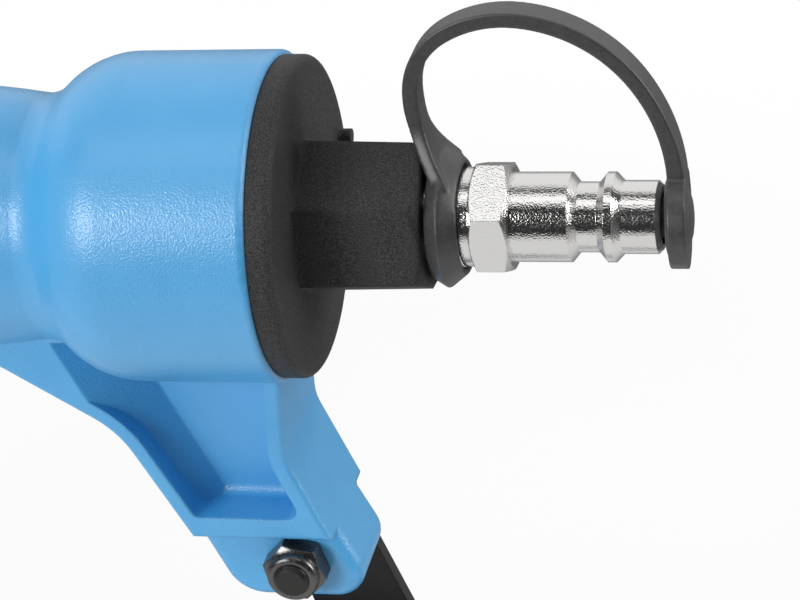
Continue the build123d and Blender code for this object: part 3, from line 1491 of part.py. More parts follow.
# Magazine rail: the core that staples straddle, on a runner that slides in the channel's grooves
block_x = channel_end_x + slide_gap
rail_end_x = block_x + rail_seat
core_top_z = crown_z - staple_wire - slide_gap
runner_half = channel_inner + runner_depth - slide_gap
with BuildPart() as magazine_rail:
    with BuildSketch(Plane.XY.offset(runner_z)):
        with Locations((nose_back_x + slide_gap, 0)):
            Rectangle(rail_end_x - nose_back_x - slide_gap, 2 * runner_half, align=(Align.MIN, Align.CENTER))
    extrude(amount=runner_height)
    with BuildSketch(Plane.XY.offset(runner_top_z)):
        with Locations((rail_front_x, 0)):
            Rectangle(rail_end_x - rail_front_x, 2 * core_half, align=(Align.MIN, Align.CENTER))
    extrude(amount=core_top_z - runner_top_z)
magazine_rail.part.label = "magazine_rail"
export_step(magazine_rail.part, "parts/magazine_rail.step")

# End block of the drawer: seat for rail and rod, ears for the latch and a pocket for its spring
latch_under_z = channel_top_z + catch_height + slide_gap + latch_hook_depth
latch_x = channel_end_x + latch_pivot_back
latch_z = latch_under_z + latch_thickness / 2
latch_spring_x = latch_x + latch_spring_back
latch_hub_r = latch_pin_d / 2 + latch_hub_wall
with BuildPart() as magazine_end_block:
    with BuildSketch(Plane.XZ) as block_side:
        with Locations((block_x, channel_bottom_z - end_block_drop)):
            Rectangle(
                end_block_length,
                channel_top_z - channel_bottom_z + end_block_drop,
                align=(Align.MIN, Align.MIN),
            )
        fillet(block_side.vertices().group_by(Axis.Y)[0].sort_by(Axis.X)[-1], radius=end_block_drop)
    extrude(amount=channel_outer, both=True)
    for side in (-1, 1):
        with BuildSketch(Plane.XZ.offset(side * channel_outer)):
            with Locations((latch_x, latch_z)):
                Circle(latch_hub_r)
                Rectangle(2 * latch_hub_r, latch_z - channel_top_z, align=(Align.CENTER, Align.MAX))
        extrude(amount=-side * (channel_outer - latch_half_width - slide_gap))
    with BuildSketch(across(block_x, runner_z - slip)):
        Rectangle(2 * (runner_half + slip), runner_height + 2 * slip, align=(Align.CENTER, Align.MIN))
        Rectangle(2 * (core_half + slip), core_top_z - runner_z + 2 * slip, align=(Align.CENTER, Align.MIN))
    extrude(amount=rail_seat + slip, mode=Mode.SUBTRACT)
    round_hole(across(rail_end_x, tunnel_z), pusher_rod_d / 2 + slip, rail_seat)
    with BuildSketch(Plane.XZ):
        with Locations((latch_x, latch_z)):
            Circle(latch_pin_d / 2)
    extrude(amount=channel_outer, both=True, mode=Mode.SUBTRACT)
    round_hole(
        level(latch_spring_x, 0, channel_top_z), (latch_mean_d + latch_wire) / 2 + free, latch_spring_pocket
    )
magazine_end_block.part.label = "magazine_end_block"
export_step(magazine_end_block.part, "parts/magazine_end_block.step")

# Latch over the catch, its pin and its spring
hook_x = catch_x - catch_gap - latch_hook_length
with BuildPart() as magazine_latch:
    with BuildSketch(Plane.XZ):
        with Locations((hook_x, latch_under_z)):
            Rectangle(latch_x + latch_tail - hook_x, latch_thickness, align=(Align.MIN, Align.MIN))
            Rectangle(latch_hook_length, latch_hook_depth, align=(Align.MIN, Align.MAX))
        with Locations((latch_x + latch_tail, latch_under_z + latch_thickness)):
            Rectangle(latch_thumb_length, latch_thumb_rise, align=(Align.MAX, Align.MIN))
        with Locations((latch_x, latch_z)):
            Circle(latch_hub_r)
            Circle(latch_pin_d / 2 + run, mode=Mode.SUBTRACT)
    extrude(amount=latch_half_width, both=True)
magazine_latch.part.label = "magazine_latch"
export_step(magazine_latch.part, "parts/magazine_latch.step")

with BuildPart() as latch_pin:
    with BuildSketch(Plane.XZ):
        with Locations((latch_x, latch_z)):
            Circle(latch_pin_d / 2)
    extrude(amount=channel_outer, both=True)
latch_pin.part.label = "latch_pin"
export_step(latch_pin.part, "parts/latch_pin.step")

latch_spring = coil_spring(
    level(latch_spring_x, 0, channel_top_z - latch_spring_pocket),
    latch_turns,
    latch_wire,
    latch_mean_d,
    latch_under_z - channel_top_z + latch_spring_pocket,
)
latch_spring.label = "latch_spring"
export_step(latch_spring, "parts/latch_spring.step")

# Pusher: a saddle shaped like the staples, with an eye on the rod above it, and the long spring
pusher_x = rail_front_x + slide_gap
pusher_end_x = pusher_x + pusher_length
with BuildPart() as pusher:
    with BuildSketch(across(pusher_x, runner_top_z)):
        with Locations((0, slide_gap)):
            Rectangle(2 * pusher_half, crown_z - runner_top_z - slide_gap, align=(Align.CENTER, Align.MIN))
        Rectangle(
            2 * (core_half + slide_gap),
            core_top_z + slide_gap - runner_top_z,
            align=(Align.CENTER, Align.MIN),
            mode=Mode.SUBTRACT,
        )
    extrude(amount=pusher_length)
    with BuildSketch(across(pusher_end_x, crown_z)):
        Rectangle(
            2 * pusher_eye_half_width, tunnel_z + pusher_eye_rise - crown_z, align=(Align.CENTER, Align.MIN)
        )
    extrude(amount=-pusher_eye_length)
    round_hole(across(pusher_end_x, tunnel_z), pusher_rod_d / 2 + run, pusher_eye_length)
pusher.part.label = "pusher"
export_step(pusher.part, "parts/pusher.step")

rod_start_x = nose_back_x + pusher_rod_d
with BuildPart() as pusher_rod:
    with BuildSketch(across(rod_start_x, tunnel_z)):
        Circle(pusher_rod_d / 2)
    extrude(amount=rail_end_x - rod_start_x)
pusher_rod.part.label = "pusher_rod"
export_step(pusher_rod.part, "parts/pusher_rod.step")

pusher_spring = coil_spring(
    across(pusher_end_x, tunnel_z), pusher_turns, pusher_wire, pusher_mean_d, block_x - pusher_end_x
)
pusher_spring.label = "pusher_spring"
export_step(pusher_spring, "parts/pusher_spring.step")
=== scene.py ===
from math import ceil, cos, exp, pi, radians, sin

import bmesh
import bpy
from mathutils import Matrix, Vector
from mathutils.bvhtree import BVHTree


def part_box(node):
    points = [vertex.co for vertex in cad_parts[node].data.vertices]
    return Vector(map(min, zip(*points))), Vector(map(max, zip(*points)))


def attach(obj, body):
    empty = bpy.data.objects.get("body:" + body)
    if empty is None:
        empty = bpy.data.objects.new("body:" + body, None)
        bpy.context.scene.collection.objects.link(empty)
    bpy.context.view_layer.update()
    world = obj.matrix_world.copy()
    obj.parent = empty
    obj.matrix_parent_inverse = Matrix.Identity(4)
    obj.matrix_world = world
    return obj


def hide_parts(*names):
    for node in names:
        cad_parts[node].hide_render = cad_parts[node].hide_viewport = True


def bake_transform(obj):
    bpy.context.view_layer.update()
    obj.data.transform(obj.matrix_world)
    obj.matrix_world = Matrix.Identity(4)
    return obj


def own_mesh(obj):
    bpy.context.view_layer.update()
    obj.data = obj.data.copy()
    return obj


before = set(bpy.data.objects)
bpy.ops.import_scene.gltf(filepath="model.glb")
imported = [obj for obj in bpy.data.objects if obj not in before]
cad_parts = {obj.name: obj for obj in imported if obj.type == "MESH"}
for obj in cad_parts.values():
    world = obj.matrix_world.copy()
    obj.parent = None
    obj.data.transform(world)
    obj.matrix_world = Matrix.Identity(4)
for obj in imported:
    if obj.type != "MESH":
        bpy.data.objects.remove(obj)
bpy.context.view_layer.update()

# Cast body and head cap
# The handle, bell, arm and head are one aluminium casting, and the head cap is another. Both are blasted
# and powder coated in bright blue, and the coat shows a fine orange peel where the light grazes it.
MM = 0.001


def screen_colour(red, green, blue):
    """Colour as it reads on a screen, 0 to 255 and none near black, turned into linear light."""
    return tuple(((level / 255 + 0.055) / 1.055) ** 2.4 for level in (red, green, blue))


def shader_of(material):
    """The one shader of a finish."""
    return material.node_tree.nodes["Principled BSDF"]


def plain_finish(name, colour, roughness, metallic=0.0, specular=0.5, coat=0.0, coat_roughness=0.03):
    """Material with one shader, whose uniform values stand on the shader's own sockets."""
    material = bpy.data.materials.new(name)
    material.use_nodes = True
    sockets = shader_of(material).inputs
    sockets["Base Color"].default_value = (*colour, 1)
    sockets["Roughness"].default_value = roughness
    sockets["Metallic"].default_value = metallic
    sockets["Specular IOR Level"].default_value = specular
    sockets["Coat Weight"].default_value = coat
    sockets["Coat Roughness"].default_value = coat_roughness
    return material


def speckle(material, per_metre, detail, stretch=(1, 1, 1)):
    """Noise measured in the object's own metres, so that every piece has it at real size."""
    tree = material.node_tree
    place = tree.nodes.new("ShaderNodeTexCoord")
    squeeze = tree.nodes.new("ShaderNodeMapping")
    squeeze.inputs["Scale"].default_value = stretch
    noise = tree.nodes.new("ShaderNodeTexNoise")
    noise.inputs["Scale"].default_value = per_metre
    noise.inputs["Detail"].default_value = detail
    tree.links.new(place.outputs["Object"], squeeze.inputs["Vector"])
    tree.links.new(squeeze.outputs["Vector"], noise.inputs["Vector"])
    return noise.outputs[0]


def tinted(material, field, dark, light, low=0.3, high=0.7):
    """Base colour that drifts between two tones along the noise."""
    tree = material.node_tree
    ramp = tree.nodes.new("ShaderNodeValToRGB")
    ramp.color_ramp.elements[0].position = low
    ramp.color_ramp.elements[0].color = (*dark, 1)
    ramp.color_ramp.elements[1].position = high
    ramp.color_ramp.elements[1].color = (*light, 1)
    tree.links.new(field, ramp.inputs["Fac"])
    tree.links.new(ramp.outputs["Color"], shader_of(material).inputs["Base Color"])


def textured(material, field, strength, depth, edge=0.0):
    """Surface relief from the noise, with edges eased by the given radius."""
    tree = material.node_tree
    relief = tree.nodes.new("ShaderNodeBump")
    relief.inputs["Strength"].default_value = strength
    relief.inputs["Distance"].default_value = depth
    tree.links.new(field, relief.inputs["Height"])
    if edge:
        eased_edge = tree.nodes.new("ShaderNodeBevel")
        eased_edge.samples = 4
        eased_edge.inputs["Radius"].default_value = edge
        tree.links.new(eased_edge.outputs["Normal"], relief.inputs["Normal"])
    for socket in ("Normal", "Coat Normal"):
        tree.links.new(relief.outputs["Normal"], shader_of(material).inputs[socket])


def dress(material, *nodes):
    """Gives CAD nodes their finish."""
    for node in nodes:
        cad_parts[node].data.materials.clear()
        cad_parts[node].data.materials.append(material)


blue_coat = plain_finish(
    "blue_powder_coat",
    screen_colour(64, 161, 219),
    roughness=0.48,
    specular=0.9,
    coat=0.5,
    coat_roughness=0.12,
)
blue_drift = speckle(blue_coat, per_metre=90, detail=3)
tinted(blue_coat, blue_drift, dark=screen_colour(60, 158, 217), light=screen_colour(68, 164, 221))
orange_peel = speckle(blue_coat, per_metre=3600, detail=1)
textured(blue_coat, orange_peel, strength=0.9, depth=0.07 * MM, edge=0.7 * MM)
dress(blue_coat, "main_body", "head_cap")


# Working cylinder and piston
# A hard-anodised aluminium liner and piston, turned on a lathe and polished by the seals that run on them.
# The extruded magazine has the same clear anodising.
def scuffed(material, field, smooth, rough, low=0.3, high=0.7):
    """Roughness that runs between two values along the noise."""
    tree = material.node_tree
    span = tree.nodes.new("ShaderNodeMapRange")
    span.inputs["From Min"].default_value = low
    span.inputs["From Max"].default_value = high
    span.inputs["To Min"].default_value = smooth
    span.inputs["To Max"].default_value = rough
    tree.links.new(field, span.inputs["Value"])
    tree.links.new(span.outputs["Result"], shader_of(material).inputs["Roughness"])


anodised = plain_finish("anodised_aluminium", screen_colour(176, 178, 182), roughness=0.38, metallic=1.0)
extrusion_lines = speckle(anodised, per_metre=600, detail=3, stretch=(0.05, 1.0, 1.0))
scuffed(anodised, extrusion_lines, smooth=0.3, rough=0.46)
textured(anodised, extrusion_lines, strength=0.1, depth=0.04 * MM, edge=0.4 * MM)
dress(anodised, "cylinder", "piston", "magazine_channel")

# Seals and bumper
# Moulded nitrile rings, the cap's gasket and the bumper that stops the piston, all dull black and hidden
# but for the gasket's edge, and held by their grooves and seats.
seal_black = plain_finish("black_seal_rubber", screen_colour(34, 34, 34), roughness=0.7)
seal_grain = speckle(seal_black, per_metre=1500, detail=2)
tinted(seal_black, seal_grain, dark=screen_colour(28, 28, 28), light=screen_colour(42, 42, 42))
textured(seal_black, seal_grain, strength=0.4, depth=0.1 * MM, edge=0.5 * MM)
dress(
    seal_black,
    "bumper",
    "end_cap_o_ring",
    "cylinder_o_ring",
    "piston_o_ring",
    "valve_o_rings",
    "cap_gasket",
)

# Driver blade, nose, rail and pins
# Hardened steel, cut and ground, with the grinding lines running along the tool.
# The pins are pressed in and the nose is screwed up under the body.
ground_steel = plain_finish("ground_steel", screen_colour(168, 168, 170), roughness=0.32, metallic=1.0)
grind_lines = speckle(ground_steel, per_metre=500, detail=4, stretch=(0.15, 1.0, 3.0))
scuffed(ground_steel, grind_lines, smooth=0.24, rough=0.42)
textured(ground_steel, grind_lines, strength=0.12, depth=0.05 * MM, edge=0.4 * MM)
dress(
    ground_steel,
    "driver_blade",
    "driver_pin",
    "nose_body",
    "nose_front_plate",
    "contact_foot",
    "push_rod",
    "trip_lever",
    "trip_lever_pin",
    "trigger_pin",
    "valve_pin",
    "magazine_rail",
    "pusher_rod",
    "latch_pin",
)

# Head valve and plastic pieces
# Machined from white acetal rod: the head valve, the trigger valve's body and cap, and the staple pusher.
# They slide on grease in their bores, so the surface is smooth and waxy.
acetal = plain_finish("white_acetal", screen_colour(205, 203, 196), roughness=0.4)
acetal_bloom = speckle(acetal, per_metre=400, detail=3)
tinted(acetal, acetal_bloom, dark=screen_colour(204, 202, 195), light=screen_colour(207, 205, 198))
textured(acetal, acetal_bloom, strength=0.05, depth=0.04 * MM, edge=0.3 * MM)
dress(acetal, "head_valve", "trigger_valve_body", "trigger_valve_cap", "pusher")


# Coil springs
# Cold-wound spring wire with closed, ground end turns, one on each sprung piece.
# Each sits between two seats.
def link_piece(name, mesh, material):
    """Gives a finished mesh its material and puts it into the scene."""
    mesh.name = name
    mesh.materials.clear()
    mesh.materials.append(material)
    piece = bpy.data.objects.new(name, mesh)
    bpy.context.scene.collection.objects.link(piece)
    return piece


def link_skin(name, rings, close_ends, material):
    """Skins rings of points, one after the other, with two flat ends or as a band without ends."""
    shape = bmesh.new()
    loops = [[shape.verts.new(point) for point in ring] for ring in rings]
    neighbours = list(zip(loops, loops[1:]))
    if not close_ends:
        neighbours.append((loops[-1], loops[0]))
    for first, second in neighbours:
        for i in range(len(first)):
            j = (i + 1) % len(first)
            shape.faces.new((first[i], first[j], second[j], second[i]))
    if close_ends:
        shape.faces.new(reversed(loops[0]))
        shape.faces.new(loops[-1])
    bmesh.ops.recalc_face_normals(shape, faces=shape.faces)
    mesh = bpy.data.meshes.new(name)
    shape.to_mesh(mesh)
    shape.free()
    mesh.shade_smooth()
    return link_piece(name, mesh, material)


spring_wire = plain_finish("spring_wire", screen_colour(150, 152, 156), roughness=0.3, metallic=1.0)
drawn_lines = speckle(spring_wire, per_metre=1200, detail=3)
scuffed(spring_wire, drawn_lines, smooth=0.22, rough=0.4)
textured(spring_wire, drawn_lines, strength=0.08, depth=0.03 * MM)
flat_turns, rise_easing = 0.8, 0.35
turn_steps, wire_sides = 28, 10
seat_clearance, end_turn_rise = 0.75, 0.25


def closed_turns(share, turns):
    """Rise of the wire along its length: the end turns lie flat, and the rest share the height."""
    flat = flat_turns / turns
    climb = min(max((share - flat) / (1 - 2 * flat), 0), 1)
    return climb * climb * (3 - 2 * climb) * rise_easing + climb * (1 - rise_easing)


def coil(node, body, axis, turns, wire, fixed_at_top):
    """Spring wound into the place of its CAD node."""
    low, high = (Vector(corner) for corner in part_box(node))
    middle = (low + high) / 2
    span = high[axis] - low[axis] - 2 * wire
    across_a, across_b = (axis + 1) % 3, (axis + 2) % 3
    radius = (high[across_a] - low[across_a] - wire) / 2
    along = Vector((0, 0, 0))
    along[axis] = 1
    steps = round(turns * turn_steps)
    rings = []
    for step in range(steps + 1):
        share = step / steps
        angle = 2 * pi * turns * share
        out = Vector((0, 0, 0))
        out[across_a], out[across_b] = cos(angle), sin(angle)
        first_turn = min(share * turns, 1)
        last_turn = max(1 - (1 - share) * turns, 0)
        seat = wire * (seat_clearance + end_turn_rise * (first_turn - last_turn))
        centre = middle + out * radius
        centre[axis] = low[axis] + seat + closed_turns(share, turns) * span
        ring = []
        for side in range(wire_sides):
            round_wire = 2 * pi * side / wire_sides
            ring.append(centre + (out * cos(round_wire) + along * sin(round_wire)) * wire / 2)
        rings.append(ring)
    piece = link_skin(f"{node}_wire", rings, True, spring_wire)
    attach(piece, body)
    direction, anchor = [0, 0, 0], list(middle)
    direction[axis] = 1
    anchor[axis] = high[axis] if fixed_at_top else low[axis]
    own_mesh(piece)
    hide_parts(node)


X, Z = 0, 2
coil("head_valve_spring", "frame", Z, 5, 1.3 * MM, fixed_at_top=True)
coil("valve_spring", "frame", Z, 5, 0.6 * MM, fixed_at_top=True)
coil("contact_spring", "frame", Z, 9, 1.0 * MM, fixed_at_top=True)
coil("latch_spring", "drawer", Z, 5, 0.5 * MM, fixed_at_top=False)
coil("pusher_spring", "drawer", X, 44, 0.6 * MM, fixed_at_top=True)

# Valve stem
# Turned from brass bar, with a poppet and a stem that the trigger's lever lifts.
# Fine tool rings run round its axis.
brass = plain_finish("turned_brass", screen_colour(198, 160, 84), roughness=0.26, metallic=1.0)
brass_rings = speckle(brass, per_metre=900, detail=3, stretch=(0.4, 0.4, 3.0))
scuffed(brass, brass_rings, smooth=0.2, rough=0.34)
dress(brass, "valve_stem")

# Grip sleeve
# A thick rubber sleeve pulled over the handle, moulded with finger grooves down both sides.
# It follows the handle's ovals and is held by its own stretch.
grip_rubber = plain_finish("grip_rubber", screen_colour(40, 40, 41), roughness=0.72)
grip_grain = speckle(grip_rubber, per_metre=1700, detail=3)
tinted(grip_rubber, grip_grain, dark=screen_colour(34, 34, 35), light=screen_colour(48, 48, 49))
textured(grip_rubber, grip_grain, strength=0.5, depth=0.1 * MM)
grip_wall, grip_end_round, grip_end_gap = 2.3 * MM, 1.4 * MM, 0.05 * MM
grip_ring_steps, grip_ring_spacing = 144, 0.46 * MM
groove_pitch, groove_half, groove_depth = 4.6 * MM, 0.9 * MM, 0.75 * MM
groove_side_limit, groove_side_sharpness, plain_ends = 0.72, 26, 12 * MM
well_outside = 200 * MM
grip_low, grip_high = (Vector(corner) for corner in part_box("grip_sleeve"))
grip_mid = (grip_low + grip_high) / 2
sleeve = bmesh.new()
sleeve.from_mesh(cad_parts["grip_sleeve"].data)
sleeve_skin = BVHTree.FromBMesh(sleeve)
sleeve.free()


def grip_radius(x, angle):
    """Distance from the handle's axis to the sleeve's outer skin, found by looking in from outside."""
    out = Vector((0, cos(angle), sin(angle)))
    axis_point = Vector((x, grip_mid.y, grip_mid.z))
    hit = sleeve_skin.ray_cast(axis_point + out * well_outside, -out)[0]
    return (hit - axis_point).length


def grip_ring(x, depth, sunk):
    """One ring of the sleeve, sunk into its skin, with the side grooves where sunk asks for them."""
    inside_x = min(max(x, grip_low.x + grip_end_gap), grip_high.x - grip_end_gap)
    ring = []
    for step in range(grip_ring_steps):
        angle = 2 * pi * step / grip_ring_steps
        side = 1 / (1 + exp((abs(sin(angle)) - groove_side_limit) * groove_side_sharpness))
        radius = grip_radius(inside_x, angle) - depth - sunk * groove_depth * side
        ring.append((x, grip_mid.y + radius * cos(angle), grip_mid.z + radius * sin(angle)))
    return ring


grip_length = grip_high.x - grip_low.x
groove_count = int((grip_length - plain_ends) / groove_pitch)
first_groove = grip_mid.x - (groove_count - 1) * groove_pitch / 2
end_curve = [(grip_end_round * (1 - cos(t)), grip_end_round * (1 - sin(t))) for t in (0, 0.4, 0.8, 1.2)]
grip_rings = [(grip_low.x + inwards, depth, 0) for inwards, depth in end_curve]
straight_length = grip_length - 2 * grip_end_round
stations = ceil(straight_length / grip_ring_spacing)
for step in range(stations + 1):
    x = grip_low.x + grip_end_round + straight_length * step / stations
    nearest = min(abs(x - first_groove - k * groove_pitch) for k in range(groove_count))
    sunk = 0.5 + 0.5 * cos(pi * nearest / groove_half) if nearest < groove_half else 0
    grip_rings.append((x, 0, sunk))
grip_rings += [(grip_high.x - inwards, depth, 0) for inwards, depth in reversed(end_curve)]
grip_rings += [(grip_high.x, grip_wall, 0), (grip_low.x, grip_wall, 0)]
grip = link_skin("grip_rubber_sleeve", [grip_ring(*ring) for ring in grip_rings], False, grip_rubber)
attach(grip, "frame")
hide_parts("grip_sleeve")

# Black mouldings
# The end cap with its hexagon, the exhaust deflector and the magazine's end block are moulded in
# glass-filled nylon, matte black with a spark-eroded grain. The end cap screws into the bell.
black_nylon = plain_finish("black_grained_nylon", screen_colour(48, 48, 48), roughness=0.55, specular=0.22)
nylon_grain = speckle(black_nylon, per_metre=6800, detail=2)
nylon_dark, nylon_light = screen_colour(34, 34, 34), screen_colour(78, 78, 78)
tinted(black_nylon, nylon_grain, nylon_dark, nylon_light, low=0.4, high=0.72)
textured(black_nylon, nylon_grain, strength=0.7, depth=0.07 * MM, edge=1.2 * MM)
dress(black_nylon, "end_cap", "exhaust_deflector", "magazine_end_block")


# Air plug
# A turned steel quick-connect plug, finely blasted and then bright nickel plated, so that its skin is pitted.
# It is screwed into the end cap, and the last threads show on its neck.
def pits(material, per_metre):
    """Fine pits of a blasted and plated surface, measured in the object's own metres."""
    tree = material.node_tree
    place = tree.nodes.new("ShaderNodeTexCoord")
    cells = tree.nodes.new("ShaderNodeTexVoronoi")
    cells.inputs["Scale"].default_value = per_metre
    tree.links.new(place.outputs["Object"], cells.inputs["Vector"])
    return cells.outputs["Distance"]


plating = plain_finish("bright_plating", screen_colour(220, 219, 217), roughness=0.14, metallic=1.0)
plating_pits = pits(plating, per_metre=4200)
scuffed(plating, plating_pits, smooth=0.05, rough=0.2)
textured(plating, plating_pits, strength=1.0, depth=0.024 * MM, edge=0.15 * MM)
dress(plating, "air_plug")

handle_z = 130 * MM
thread_pitch, thread_turn_steps, thread_fade_steps = 1.34 * MM, 40, 30
thread_start, thread_end = 196.3 * MM, 201.0 * MM
thread_root, thread_crest, thread_sunk = 6.5 * MM, 6.84 * MM, 0.2 * MM
half_base, half_crest = 0.42 * thread_pitch, 0.08 * thread_pitch
thread_steps = round((thread_end - thread_start) / thread_pitch * thread_turn_steps)
thread_rings = []
for step in range(thread_steps + 1):
    angle = 2 * pi * step / thread_turn_steps
    x = thread_start + (thread_end - thread_start) * step / thread_steps
    fade = min(1, step / thread_fade_steps, (thread_steps - step) / thread_fade_steps)
    crest = thread_root + (thread_crest - thread_root) * fade
    out = Vector((0, cos(angle), sin(angle)))
    centre = Vector((x, 0, handle_z))
    profile = [
        (-half_base, thread_root - thread_sunk),
        (-half_base, thread_root),
        (-half_crest, crest),
        (half_crest, crest),
        (half_base, thread_root),
        (half_base, thread_root - thread_sunk),
    ]
    thread_rings.append([centre + out * radius + Vector((along, 0, 0)) for along, radius in profile])
thread = link_skin("air_plug_thread", thread_rings, True, plating)
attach(thread, "frame")

# Dust cap
# One moulding in dark grey rubber: a coned ring that turns on the plug's neck, a flat strap that flares
# where it leaves the ring, and a domed button whose plug keeps dirt out of the bore.
cap_rubber = plain_finish("dust_cap_rubber", screen_colour(58, 58, 58), roughness=0.42, specular=0.65)
rubber_bloom = speckle(cap_rubber, per_metre=1500, detail=2)
tinted(cap_rubber, rubber_bloom, dark=screen_colour(53, 53, 53), light=screen_colour(63, 63, 63))
textured(cap_rubber, rubber_bloom, strength=0.15, depth=0.05 * MM)

strap_start, strap_lean = Vector((197.3, 0, 138.4)) * MM, radians(121.2)
strap_arcs = [(17.86, 35.1), (9.82, 56.0), (15.7, 36.4), (20.87, 49.2), (24.05, 34.5)]
strap_step, tail_steps = 0.6, 6
strap_half_width, strap_half_thick, strap_corner = 2.2 * MM, 1.0 * MM, 0.22 * MM
corner_steps, half_face_steps = 3, 6
root_half_width, root_reach, root_r, root_curve = 6.0 * MM, 6.5 * MM, 8.4 * MM, 1.8
tail_swell, tail_reach = 0.3 * MM, 11.0 * MM
button_r, button_yaw = 6.75, 0.055


def strap_line():
    """Middle line of the strap, with the way run: along its arcs, each a radius in millimetres and a turn in
    degrees, and then straight down into the button."""
    place, heading, run = strap_start.copy(), strap_lean, 0.0
    line = [(place.copy(), heading, run)]
    for radius, turn in strap_arcs:
        pieces = ceil(radius * radians(turn) / strap_step)
        bend = radians(turn) / pieces
        for _ in range(pieces):
            chord = 2 * radius * MM * sin(bend / 2)
            heading -= bend / 2
            place += Vector((cos(heading), 0, sin(heading))) * chord
            heading -= bend / 2
            run += chord
            line.append((place.copy(), heading, run))
    drop = place.z - handle_z
    for step in range(1, tail_steps + 1):
        sunk = drop * step / tail_steps
        line.append((place - Vector((0, 0, sunk)), heading, run + sunk))
    return line


def strap_ring(place, heading, run):
    """Flat section of the strap: it widens at its root, wraps round the ring and thickens to the button."""
    flare = max(0, 1 - run / root_reach)
    half_width = strap_half_width + (root_half_width - strap_half_width) * flare**root_curve
    to_button = strap_points[-1][2] - run - button_r * MM
    swell = tail_swell * min(1, max(0, 1 - to_button / tail_reach)) ** 2
    out = Vector((-sin(heading), 0, cos(heading)))
    ahead = Vector((cos(heading), 0, sin(heading)))
    ring = []
    for corner, (side, face) in enumerate(((1, 1), (-1, 1), (-1, -1), (1, -1))):
        outline = []
        for step in range(corner_steps + 1):
            angle = pi / 2 * (corner + step / corner_steps)
            across = side * (half_width - strap_corner) + strap_corner * cos(angle)
            outline.append((across, face * (strap_half_thick - strap_corner) + strap_corner * sin(angle)))
        if corner % 2 == 0:
            for step in range(1, 2 * half_face_steps):
                outline.append((side * half_width * (1 - step / half_face_steps), face * strap_half_thick))
        for across, height in outline:
            thick = height + (swell if face > 0 else 0)
            wrap = (root_r - (root_r**2 - across**2) ** 0.5) * flare
            ring.append(place + Vector((0, across, 0)) + out * thick - ahead * wrap)
    return ring


def turned(profile, yaw=0.0, steps=96):
    """Rings of a piece turned round the handle's axis, from a closed outline; yaw turns its rim."""
    rings = []
    for step in range(steps):
        angle = 2 * pi * step / steps
        ring = []
        for x, r in profile:
            y = r * cos(angle)
            ring.append(Vector((x - yaw * y, y, handle_z / MM + r * sin(angle))) * MM)
        rings.append(ring)
    return rings


strap_points = strap_line()
button_x = strap_points[-1][0].x / MM
collar_outline = [
    (196.1, 6.95),
    (196.1, 8.2),
    (196.2, 8.35),
    (197.85, 9.36),
    (198.0, 9.42),
    (198.2, 9.34),
    (200.2, 7.72),
    (200.3, 7.6),
    (200.3, 6.95),
]
button_outline = [
    (224.0, 0.02),
    (224.0, 2.4),
    (224.3, 2.75),
    (226.8, 2.75),
    (226.8, 4.85),
    (button_x - 1.17, 4.85),
    (button_x - 1.17, 6.6),
    (button_x - 1.02, button_r),
    (button_x + 1.12, button_r),
    (button_x + 1.3, 6.68),
    (button_x + 1.25, 6.3),
    (button_x + 1.0, 5.4),
    (button_x + 0.98, 4.9),
    (button_x + 1.1, 4.4),
    (button_x + 1.5, 3.5),
    (button_x + 1.85, 2.3),
    (button_x + 2.0, 1.1),
    (button_x + 2.02, 0.02),
]
cap_parts = [
    link_skin("cap_strap_part", [strap_ring(*point) for point in strap_points], True, cap_rubber),
    link_skin("cap_ring_part", turned(collar_outline), False, cap_rubber),
    link_skin("cap_button_part", turned(button_outline, button_yaw), False, cap_rubber),
]
joined = bmesh.new()
for part in cap_parts:
    joined.from_mesh(part.data)
    bpy.data.objects.remove(part)
raw_mesh = bpy.data.meshes.new("dust_cap_raw")
joined.to_mesh(raw_mesh)
joined.free()
raw_cap = link_piece("dust_cap_raw", raw_mesh, cap_rubber)
fused = raw_cap.modifiers.new("fused", "REMESH")
fused.mode = "VOXEL"
fused.voxel_size = 0.15 * MM
softened = raw_cap.modifiers.new("softened", "SMOOTH")
softened.factor = 0.5
softened.iterations = 2
lighter = raw_cap.modifiers.new("lighter", "DECIMATE")
lighter.ratio = 0.35
bpy.context.view_layer.update()
cap_mesh = bpy.data.meshes.new_from_object(raw_cap.evaluated_get(bpy.context.evaluated_depsgraph_get()))
bpy.data.objects.remove(raw_cap)

junction_x, junction_foot, junction_top = 201 * MM, 4 * MM, 17 * MM
junction_passes, junction_step, junction_pull = 20, 0.4 * MM, 0.5
blended = bmesh.new()
blended.from_mesh(cap_mesh)
for smoothing in range(junction_passes):
    foot, top = handle_z + junction_foot, handle_z + junction_top - junction_step * smoothing
    junction = [vert for vert in blended.verts if vert.co.x < junction_x and foot < vert.co.z < top]
    bmesh.ops.smooth_vert(
        blended,
        verts=junction,
        factor=junction_pull,
        use_axis_x=True,
        use_axis_y=True,
        use_axis_z=True,
    )
blended.to_mesh(cap_mesh)
blended.free()
cap_mesh.shade_smooth()
dust_cap = link_piece("dust_cap", cap_mesh, cap_rubber)
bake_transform(dust_cap)
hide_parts("dust_cap_strap", "dust_cap_plug")

# Hanger, trigger and latch
# Bent from steel sheet and painted black. The hanger leans down the far side of the lug to the magazine's
# roof, carries the magazine's rear end, and narrows towards its bolt.
black_paint = plain_finish("black_plate_paint", screen_colour(28, 28, 30), roughness=0.45)
paint_film = speckle(black_paint, per_metre=700, detail=3)
tinted(black_paint, paint_film, dark=screen_colour(24, 24, 26), light=screen_colour(33, 33, 35))
textured(black_paint, paint_film, strength=0.2, depth=0.06 * MM, edge=0.5 * MM)
dress(black_paint, "trigger", "magazine_latch")

